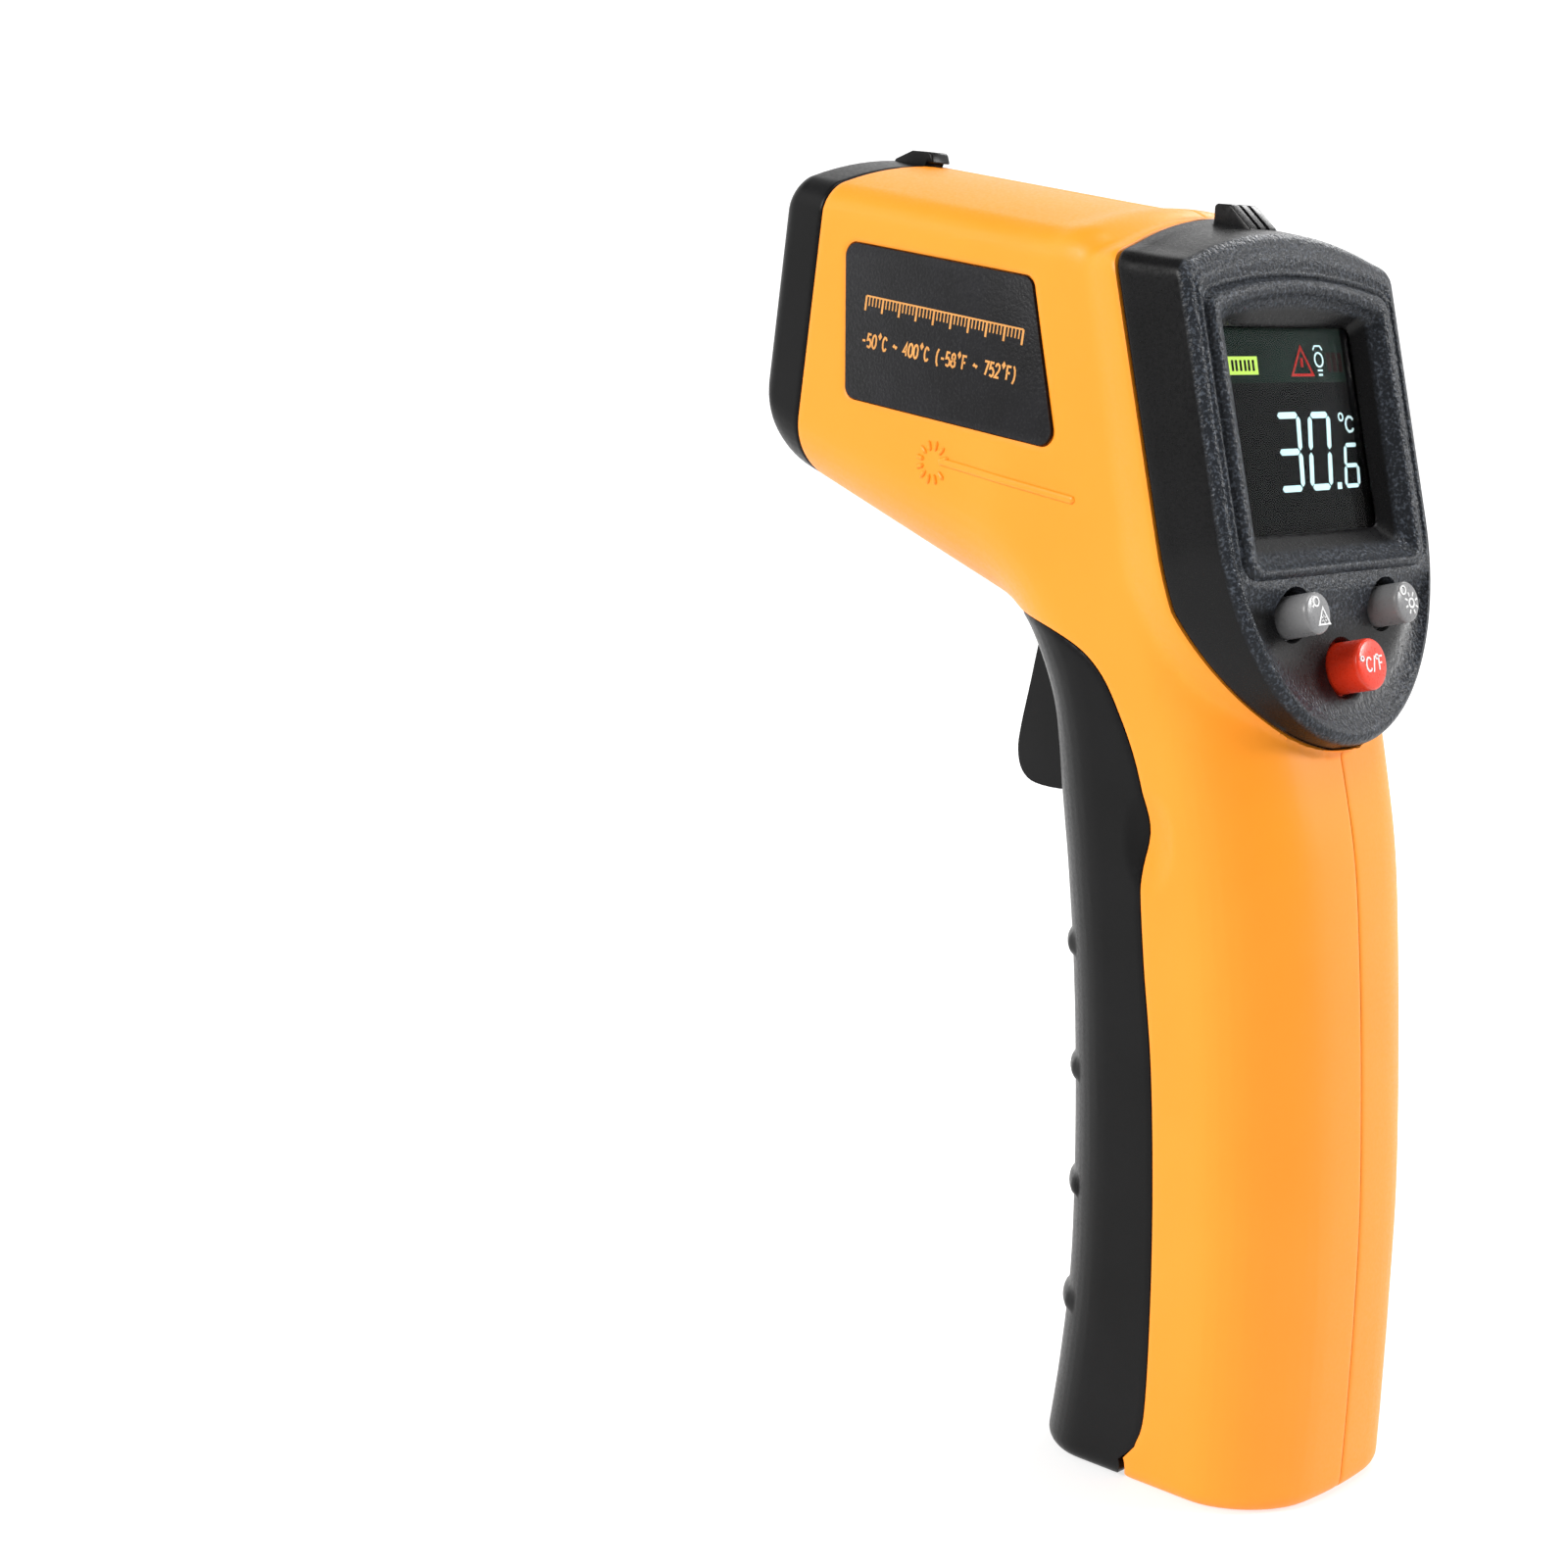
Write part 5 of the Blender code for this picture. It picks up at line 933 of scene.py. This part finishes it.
# ---- Nose cap and lens
def nose_outline(a, inset=0.0, edge=0.0, chin=0.0):
    """The barrel section as (y, b), resampled round the lens axis."""
    ring = section_ring(barrel_row(a, edge, chin), inset)
    return polar([(p.y, p.dot(AXIS_B)) for p in ring], np.array((0.0, LENS_B)))


def nose_cap():
    rings = []

    def add(outline, a):
        rings.append([barrel_point(a, b, y) for y, b in outline])

    def lens_circle(grow):
        radius = LENS_RADIUS + grow
        return np.stack([radius * np.cos(LOOP_ANGLES), LENS_B + radius * np.sin(LOOP_ANGLES)], 1)

    back = CAP_SEAM_A + SEAM_GAP / 2
    for step, inset in mm([(0.0, 0.16), (0.08, 0.07), (0.25, 0.01), (0.6, 0.0)]):
        add(nose_outline(back + step, inset), back + step)
    for depth in (5.6, 5.0, 4.0, 3.2, 2.6, 2.2, 1.8, 1.4, 1.05, 0.75, 0.5, 0.3, 0.15, 0.05, 0.0):
        a = NOSE_A - depth * MM
        add(nose_outline(a, 0.0, edge_inset(NOSE_EDGE_RADIUS, depth * MM),
                         edge_inset(CHIN_RADIUS, depth * MM)), a)
    rim = nose_outline(NOSE_A, 0.0, NOSE_EDGE_RADIUS, CHIN_RADIUS)
    mouth = lens_circle(0.95 * MM)
    for share in (0.15, 0.4, 0.7, 0.9):
        add(rim + (mouth - rim) * share, NOSE_A)
    # The mouth steps down to the lens in three shallow terraces
    for grow, depth in mm([(0.95, 0.0), (0.85, 0.03), (0.8, 0.12), (0.78, 0.55), (0.35, 0.62), (0.27, 0.7),
                           (0.25, 1.1), (-0.15, 1.17), (-0.23, 1.25), (-0.25, 1.6), (-0.6, 1.68),
                           (-0.65, 1.75),
                           (-0.65, 2.0)]):
        add(lens_circle(grow), NOSE_A - depth)
    hole = lens_circle(-0.65 * MM)
    inner = nose_outline(NOSE_A - WALL, WALL, 0.0, edge_inset(CHIN_RADIUS, WALL))
    for share in (0.5, 1.0):
        add(hole + (inner - hole) * share, NOSE_A - WALL)
    for a in (NOSE_A - CHIN_RADIUS, back):
        add(nose_outline(a, WALL), a)
    laser_hole = [(0.0, -1.0), (2.6, -1.0), (2.6, -0.02), (2.0, 0.6), (2.0, 6.0), (0.0, 6.0)]
    place = matrix_from(ACROSS, AXIS_B, -AXIS_A, barrel_point(NOSE_A, LASER_B))
    cap = cut(grid_mesh(rings, loop=True), turned_mesh(laser_hole, place))
    crown = TOP_B + TOP_RISE * 54 * MM
    side = [(-a, crown + rise) for a, rise in mm(FRONT_SIGHT_SIDE)]
    sight = bevelled(prism_mesh(side, -FRONT_SIGHT_HALF_WIDTH, FRONT_SIGHT_HALF_WIDTH, BARREL_SIDE),
                     0.25 * MM)
    place_piece("nose_cap_skin", joined([cap, sight]), "case", "black_trim", replaces=["nose_cap"], sharp=42)


def lens():
    """The milky lens with its shallow moulded rings."""
    place = matrix_from(ACROSS, AXIS_B, AXIS_A, barrel_point(NOSE_A - WALL - 1.6 * MM, LENS_B))
    edge = LENS_RADIUS / MM - 0.02
    profile = [(0.0, -1.5), (edge, -1.5), (edge, -0.05)]
    for i in range(12, 0, -1):
        radius = i * 0.58
        profile += [(radius, 0.02), (radius - 0.1, -0.06), (radius - 0.2, 0.02)]
    profile.append((0.0, 0.02))
    place_piece("lens_disc", turned_mesh(profile, place, 96), "case", "infrared_lens", replaces=["ir_lens"],
                sharp=60)


# ---- Strokes and glyphs
def stroke_mesh(points, width, place, low, high, closed=False):
    """A flat line of even width with mitred corners, raised from low to high over the local XY plane."""
    points = [Vector(p) for p in points]
    rings = []
    for i, point in enumerate(points):
        before = points[i - 1] if i or closed else point * 2 - points[1]
        after = points[(i + 1) % len(points)] if i < len(points) - 1 or closed else point * 2 - points[i - 1]
        first, second = (point - before).normalized(), (after - point).normalized()
        middle = (first + second).normalized()
        normal = Vector((-middle.y, middle.x))
        reach = min(width / 2 / max(normal.dot(Vector((-first.y, first.x))), 0.4), width)
        left, right = point + normal * reach, point - normal * reach
        corners = ((left, low), (right, low), (right, high), (left, high))
        rings.append([place @ Vector((p.x, p.y, h)) for p, h in corners])
    return grid_mesh(rings, loop=closed)


GLYPHS = {                     # strokes on a unit box; a stroke ending with "loop" closes on its start
    "0": [[(0.5, 1.0), (0.8, 0.93), (1.0, 0.72), (1.0, 0.28), (0.8, 0.07), (0.5, 0.0), (0.2, 0.07),
           (0.0, 0.28),
           (0.0, 0.72), (0.2, 0.93), "loop"]],
    "2": [[(0.0, 0.75), (0.15, 0.95), (0.5, 1.0), (0.9, 0.9), (1.0, 0.7), (0.85, 0.5), (0.0, 0.0),
           (1.0, 0.0)]],
    "4": [[(0.8, 0.0), (0.8, 1.0), (0.0, 0.3), (1.0, 0.3)]],
    "5": [[(0.95, 1.0), (0.15, 1.0), (0.05, 0.55), (0.6, 0.62), (1.0, 0.4), (0.95, 0.12), (0.6, 0.0),
           (0.0, 0.08)]],
    "7": [[(0.0, 1.0), (1.0, 1.0), (0.35, 0.0)]],
    "8": [[(0.5, 1.0), (0.9, 0.88), (0.9, 0.64), (0.5, 0.53), (0.1, 0.64), (0.1, 0.88), "loop"],
          [(0.5, 0.53), (1.0, 0.38), (1.0, 0.12), (0.5, 0.0), (0.0, 0.12), (0.0, 0.38), "loop"]],
    "*": [[(0.5, 1.15), (0.75, 1.0), (0.5, 0.85), (0.25, 1.0), "loop"]],
    "~": [[(0.0, 0.42), (0.25, 0.56), (0.5, 0.48), (0.75, 0.4), (1.0, 0.54)]],
    "(": [[(0.8, 1.1), (0.45, 0.8), (0.35, 0.45), (0.45, 0.1), (0.8, -0.2)]],
    ")": [[(0.2, 1.1), (0.55, 0.8), (0.65, 0.45), (0.55, 0.1), (0.2, -0.2)]],
    "-": [[(0.1, 0.45), (0.9, 0.45)]],
    "C": [[(1.0, 0.8), (0.75, 0.97), (0.4, 1.0), (0.1, 0.8), (0.0, 0.5), (0.1, 0.2), (0.4, 0.0), (0.75, 0.03),
           (1.0, 0.2)]],
    "F": [[(0.05, 0.0), (0.05, 1.0), (1.0, 1.0)], [(0.05, 0.52), (0.8, 0.52)]],
    "/": [[(0.1, -0.1), (0.9, 1.1)]],
}


def glyph_meshes(letter, x, y, width, height, line, place, low, high, slant=0.0):
    meshes = []
    for path in GLYPHS[letter]:
        closed = path[-1] == "loop"
        points = [(x + u * width + v * height * slant, y + v * height) for u,
                  v in (path[:-1] if closed else path)]
        meshes.append(stroke_mesh(points, line, place, low, high, closed))
    return meshes


# ---- What the display shows
SEGMENTS = {                   # a seven-segment digit: ends of each bar on a unit box
    "a": ((0, 1), (1, 1)), "b": ((1, 1), (1, 0.5)), "c": ((1, 0.5), (1, 0)), "d": ((0, 0), (1, 0)),
    "e": ((0, 0.5), (0, 0)), "f": ((0, 1), (0, 0.5)), "g": ((0, 0.5), (1, 0.5)),
}
DIGITS = [                     # bars, corners (bottom left and right, top left and right), bar width, mm
    ("abcdg", (-3.3, 7.65), (0.75, 7.65), (-2.3, 15.75), (1.75, 15.75), 0.72),
    ("abcdef", (2.55, 7.65), (6.2, 7.65), (4.0, 15.7), (7.6, 15.7), 0.72),
    ("acdefg", (9.2, 7.6), (11.8, 7.6), (10.1, 12.2), (12.4, 12.2), 0.46),
]


def digit_meshes(bars, *corners, place):
    """Bars with pointed ends between the four corners of a slanted digit."""
    width = corners[-1] * MM
    low_left, low_right, top_left, top_right = (Vector(c) * MM for c in corners[:-1])

    def spot(u, v):
        return low_left.lerp(low_right, u).lerp(top_left.lerp(top_right, u), v)

    meshes = []
    for name in bars:
        start, end = (spot(*corner) for corner in SEGMENTS[name])
        along = (end - start).normalized()
        across = Vector((-along.y, along.x)) * width / 2
        start, end = start + along * width * 0.2, end - along * width * 0.2
        tip = along * width / 2
        outline = [start, start + tip - across, end - tip - across, end, end - tip + across,
                   start + tip + across]
        meshes.append(prism_mesh([tuple(p) for p in outline], 0.0, LIT_THICKNESS, place))
    return meshes


def display():
    place = face_matrix(off=LIT_OFF)
    high = LIT_THICKNESS

    def slab(points, top=high, low=0.0):
        return prism_mesh(mm(points), low, top, place)

    def line(points, width, closed=False):
        return stroke_mesh(mm(points), width * MM, place, 0.0, high, closed)

    def leaning(lefts, low, top, width):
        """Short upright bars that lean with the digits, one from each left edge."""
        return [[(y, low), (y + width, low), (y + width + 0.05, top), (y + 0.05, top)] for y in lefts]

    digits = [mesh for digit in DIGITS for mesh in digit_meshes(*digit, place=place)]
    digits.append(slab([(7.45, 7.3), (8.25, 7.3), (8.35, 8.05), (7.55, 8.05)]))
    digits.append(line(circle(10.05, 15.4, 0.42), 0.2, True))
    digits += glyph_meshes("C", 10.75 * MM, 13.7 * MM, 1.5 * MM, 1.7 * MM, 0.27 * MM, place, 0.0, high, 0.1)
    digits.append(line([(7.05, 20.2), (7.75, 20.2)], 0.22))                          # the lamp sign
    digits.append(line([(6.95, 20.7), (7.85, 20.7)], 0.2))
    digits.append(line(circle(7.4, 21.9, 0.78), 0.2, True))
    digits.append(line([(6.5, 23.0), (6.9, 23.45), (7.9, 23.45), (8.3, 23.0)], 0.18))
    tag = [(-10.0, 20.3), (-4.5, 20.3), (-4.4, 22.3), (-9.95, 22.3)]
    bars = leaning((-9.3, -8.6, -7.8, -7.0, -6.3, -5.5), 20.7, 21.9, 0.35)
    warning = [line([(1.9, 20.2), (5.9, 20.2), (4.1, 23.3)], 0.3, True),
               line([(3.95, 21.1), (4.05, 22.1)], 0.45)]
    upper = [(-12.3, 19.4), (12.3, 19.4), (12.3, 25.4), (-12.3, 25.4)]
    for name, meshes, surface in (
            ("lit_digits", digits, "lit_digits"), ("lit_hold_tag", [slab(tag)], "lit_tag"),
            ("dark_bars", [slab(bar, high * 2, high * 0.9) for bar in bars], "display"),
            ("lit_laser_mark", warning, "lit_warning"),
            ("unlit_battery_bars", [slab(bar) for bar in leaning((8.9, 10.0, 11.1), 20.5, 22.7, 0.75)],
             "unlit"),
            ("upper_tint", [slab(upper, -0.01 * MM, -0.04 * MM)], "top_tint")):
        place_piece(name, joined(meshes), "case", surface)


# ---- Buttons and trigger
def buttons():
    for name, (y, s, radius, surface) in BUTTONS.items():
        top, r = BUTTON_TOP / MM, radius / MM
        profile = [(0.0, -5.0), (r, -5.0), (r, -3.7), (r + 1.0, -3.7), (r + 1.0, -2.6), (r, -2.6),
                   (r, top - 0.75)]
        for i in range(1, 7):
            angle = math.pi / 2 * i / 6
            profile.append((r - 0.42 * (1 - math.cos(angle)), top - 0.55 + 0.42 * math.sin(angle)))
        profile += [(r - 0.6, top - 0.08), (r * 0.5, top - 0.03), (0.0, top)]
        place_piece(f"{name}_cap", turned_mesh(profile, face_matrix(y, s), 96), name, surface,
                    replaces=[name],
                    sharp=50)


def legends():
    """White marks printed on the button caps, in millimetres from each cap's centre."""
    low, high = BUTTON_TOP - 0.12 * MM, BUTTON_TOP + 0.03 * MM

    def rays(x, y, inner, outer, count, first):
        """Short strokes round a point, as pairs of ends."""
        turns = [math.radians(first + 360 / count * i) for i in range(count)]
        return [[(x + r * math.cos(t), y + r * math.sin(t)) for r in (inner, outer)] for t in turns]

    def print_legend(button, name, strokes, letters=()):
        """strokes = (points, width, closed); letters = (letter, left, width)."""
        y, s, _, surface = BUTTONS[button]
        place = face_matrix(y, s)
        scale = LEGEND_SCALE * MM
        marks = [stroke_mesh([(u * scale, v * scale) for u, v in points], width * scale, place, low, high,
                             closed)
                 for points, width, closed in strokes]
        for letter, left, width in letters:
            marks += glyph_meshes(letter, left * MM, -0.75 * MM, width * MM, 1.5 * MM, 0.2 * MM, place, low,
                                  high)
        place_piece(name, joined(marks), button, "white_ink")

    warning = [([(-0.35, -1.1), (1.35, -1.1), (0.5, 0.45)], 0.17, True)]
    warning += [(ray, 0.1, False) for ray in rays(0.5, -0.6, 0.18, 0.42, 6, 90)]
    warning += [(circle(-0.35, 1.05, 0.42, 16), 0.16, True), ([(-1.0, 0.55), (-0.7, 0.8)], 0.16, False)]
    print_legend("laser_button", "laser_legend", warning)
    lamp = [(circle(0.35, -0.15, 0.42, 20), 0.2, True)]
    lamp += [(ray, 0.18, False) for ray in rays(0.35, -0.15, 0.68, 1.1, 8, 20)]
    lamp.append((circle(-0.75, 1.15, 0.4, 16), 0.15, True))
    print_legend("backlight_button", "backlight_legend", lamp)
    degrees = [(circle(-1.75, 0.62, 0.22, 14), 0.14, True), (circle(0.62, 0.62, 0.22, 14), 0.14, True)]
    print_legend("unit_button", "unit_legend", degrees,
                 (("C", -1.42, 0.95), ("/", -0.2, 0.5), ("F", 0.95, 0.72)))


def trigger():
    outline = [tuple(p) for p in smooth_rows(TRIGGER_FRONT, 4)] + TRIGGER_ARM
    lever = bevelled(side_prism(mm(outline), TRIGGER_HALF_WIDTH), 1.1 * MM, 5, 60)
    bore = rod_mesh(TRIGGER_PIVOT, -10 * MM, 10 * MM, TRIGGER_BORE_RADIUS)
    place_piece("trigger_lever", cut(lever, bore), "trigger", "black_trim", replaces=["trigger"], sharp=40)


# ---- Labels and the raised sun mark
def label_print(half, place):
    """A graduated line over the range in two units, both from -half to half."""
    low, high = -0.05 * MM, 0.02 * MM
    marks = [stroke_mesh([(-half, SCALE_HIGH), (half, SCALE_HIGH)], 0.2 * MM, place, low, high)]
    for i in range(SCALE_TICKS):
        u = -half + 2 * half * i / (SCALE_TICKS - 1)
        start, width = (SCALE_LOW + 0.6 * MM, 0.18 * MM) if i % 5 else (SCALE_LOW, 0.3 * MM)
        marks.append(stroke_mesh([(u, start), (u, SCALE_HIGH)], width, place, low, high * 0.9))
    pitch = 2 * half / len(RANGE_TEXT)
    for i, letter in enumerate(RANGE_TEXT):
        if letter != " ":
            marks += glyph_meshes(letter, -half + (i + 0.15) * pitch, RANGE_B, pitch * 0.7, RANGE_HEIGHT,
                                  0.26 * MM,
                                  place, low, high)
    return marks


def labels():
    """Grained film with a printed scale and the range below it."""
    top, edge = LABEL_HEIGHT, 0.08 * MM
    rings = [(-0.35 * MM, 0.0), (top - edge, 0.0), (top - edge * 0.3, -edge * 0.3), (top, -edge)]
    for side, name in ((-1, "left"), (1, "right")):
        place_piece(f"label_{name}", label_slab(side, rings), "case", "label_film",
                    replaces=[f"side_label_{name}"])
        ends = [barrel_point(a, 0.0, side_plane(a, side) + side * top) for a in PRINT_ENDS[::-side]]
        across = (ends[1] - ends[0]).normalized()
        place = matrix_from(across, AXIS_B, across.cross(AXIS_B), (ends[0] + ends[1]) / 2)
        marks = label_print((ends[1] - ends[0]).length / 2, place)
        place_piece(f"label_print_{name}", joined(marks), "case", "orange_ink")


def ridge_mesh(path, width, height):
    """A low rounded ridge lying on the left side of the case between two (a, b) points, mm."""
    pitch = 0.25
    steps = max(2, int(math.dist(*path) / pitch))
    (a0, b0), (a1, b1) = path
    spots = []
    for i in range(steps + 1):
        a, b = a0 + (a1 - a0) * i / steps, b0 + (b1 - b0) * i / steps
        spots.append(SKIN.ray_cast(barrel_point(a * MM, b * MM, -30 * MM), ACROSS)[:2])
    rings = []
    for i, (spot, normal) in enumerate(spots):
        along = (spots[min(i + 1, steps)][0] - spots[max(i - 1, 0)][0]).normalized()
        end = min(i, steps - i) * pitch * MM
        taper = math.sqrt(max(1 - (1 - min(end / (width / 2), 1)) ** 2, 0.04))
        side = normal.cross(along) * (width / 2 * taper)
        ring = [spot + side * math.cos(t) + normal * (height * taper * math.sin(t))
                for t in (math.pi * k / 8 for k in range(9))]
        foot = spot - normal * 0.2 * MM
        rings.append(ring + [foot - side, foot + side])
    return grid_mesh(rings)


def sun_mark():
    """The raised mark under the label: a ring of rays and a long beam."""
    height = 0.3 * MM
    centre_a, centre_b = SUN_CENTRE
    meshes = []
    for i in range(12):
        t = math.radians(30 * i + 8)
        if math.cos(t) >= -0.95:                                  # the beam takes the place of one ray
            path = [(centre_a + math.cos(t) * r, centre_b + math.sin(t) * r) for r in (1.35, 2.6)]
            meshes.append(ridge_mesh(path, 0.55 * MM, height))
    meshes.append(ridge_mesh([(centre_a - 0.9, centre_b + 0.4), BEAM_END], 0.95 * MM, height))
    mark = joined(meshes)
    right_mark = mirror_image(mark)
    place_piece("sun_mark_left", mark, "case", "yellow_case")
    place_piece("sun_mark_right", right_mark, "case", "yellow_case")


# ---- Screws, and the materials of the CAD pieces that stay
def case_screws():
    profile = [(0.0, -8.9), (1.2, -8.9), (1.2, 11.35), (2.5, 11.4), (2.58, 11.9), (2.4, 12.5), (1.9, 12.95),
               (1.2, 13.2), (0.0, 13.28)]
    for i in range(1, SCREW_COUNT + 1):
        centre = screw_centre(i)
        place = matrix_from(Vector((1, 0, 0)), Vector((0, 0, -1)), ACROSS, Vector((centre.x, 0.0, centre.z)))
        recess = [box_mesh(*mm([(-1.5, -0.3, 12.3), (1.5, 0.3, 14)]),
                           place @ Matrix.Rotation(math.radians(turn + 20 * i), 4, "Z")) for turn in (0, 90)]
        head = cut(turned_mesh(profile, place, 48), *recess)
        place_piece(f"screw_{i}", head, "case", "dark_screw", replaces=[f"case_screw_{i}"])


def dress_nodes():
    for name, obj in frame["nodes"].items():
        for surface, starts in NODE_SURFACES.items():
            if name.startswith(tuple(starts)):
                for slot in obj.material_slots:
                    slot.material = SURFACES[surface]


# ---- Camera, floor and light
def camera():
    data = bpy.data.cameras.new("photo_camera")
    data.lens = CAMERA_LENS
    data.clip_start = 0.01
    viewer = new_object("photo_camera", data)
    flat = math.cos(CAMERA_ELEVATION)
    back = Vector((math.sin(CAMERA_AZIMUTH) * flat, -math.cos(CAMERA_AZIMUTH) * flat,
                   math.sin(CAMERA_ELEVATION)))
    viewer.location = CAMERA_PLACE + SHIFT
    viewer.rotation_euler = back.to_track_quat("Z", "Y").to_euler()
    bpy.context.scene.camera = viewer


def lit_paper():
    """White paper, lit from behind: fully on the far side of the sweep and less on the near side."""
    made = moulded("white_paper", grey(0.36), grey(0.34), 0.9, 8.0, 900.0, 0.0, specular=0.1)
    tree = made.node_tree
    away = Vector((-math.sin(CAMERA_AZIMUTH), math.cos(CAMERA_AZIMUTH), 0.0))
    place = add_node(tree, "TexCoord", "Object", {})
    depth = add_node(tree, "VectorMath", "Value", {0: place, 1: away}, operation="DOT_PRODUCT")
    share = remapped(tree, depth, PAPER_NEAR, PAPER_FAR, -0.6, 0.2)
    feed(tree, tree.nodes["Principled BSDF"], {"Emission Color": grey(1.0), "Emission Strength": share})
    return made


def floor():
    """A pale sheet that rolls up behind the object all round, as a shallow bowl far from it."""
    turns = circle(0.0, 0.0, 1.0, 96)
    count = len(turns)
    faces = [tuple(range(count))]
    for start in range(0, (len(PAPER_PROFILE) - 1) * count, count):
        for k in range(count):
            following = (k + 1) % count
            faces.append((start + k, start + following, start + count + following, start + count + k))
    mesh = bpy.data.meshes.new("floor")
    mesh.from_pydata([(r * x, r * y, h) for r, h in PAPER_PROFILE for x, y in turns], [], faces)
    mesh.shade_smooth()
    mesh.materials.append(lit_paper())
    new_object("floor", mesh)


def lights():
    for name, spot, width, height, power, colour in LIGHTS:
        data = bpy.data.lights.new(name, "AREA")
        data.shape = "RECTANGLE"
        data.size, data.size_y = width, height
        data.energy = power
        data.color = colour
        lamp = new_object(name, data)
        lamp.location = spot
        lamp.rotation_euler = (Vector(spot) - LIGHT_AIM).to_track_quat("Z", "Y").to_euler()
    world = bpy.data.worlds.new("studio_air")
    world.use_nodes = True
    feed(world.node_tree, world.node_tree.nodes["Background"],
         {"Color": grey(1.0), "Strength": WORLD_STRENGTH})
    bpy.context.scene.world = world
    bpy.context.scene.view_settings.view_transform = "Standard"


case_halves()
battery_door()
rear_bezel()
nose_cap()
lens()
display()
buttons()
legends()
trigger()
labels()
sun_mark()
case_screws()
dress_nodes()
camera()
floor()
lights()
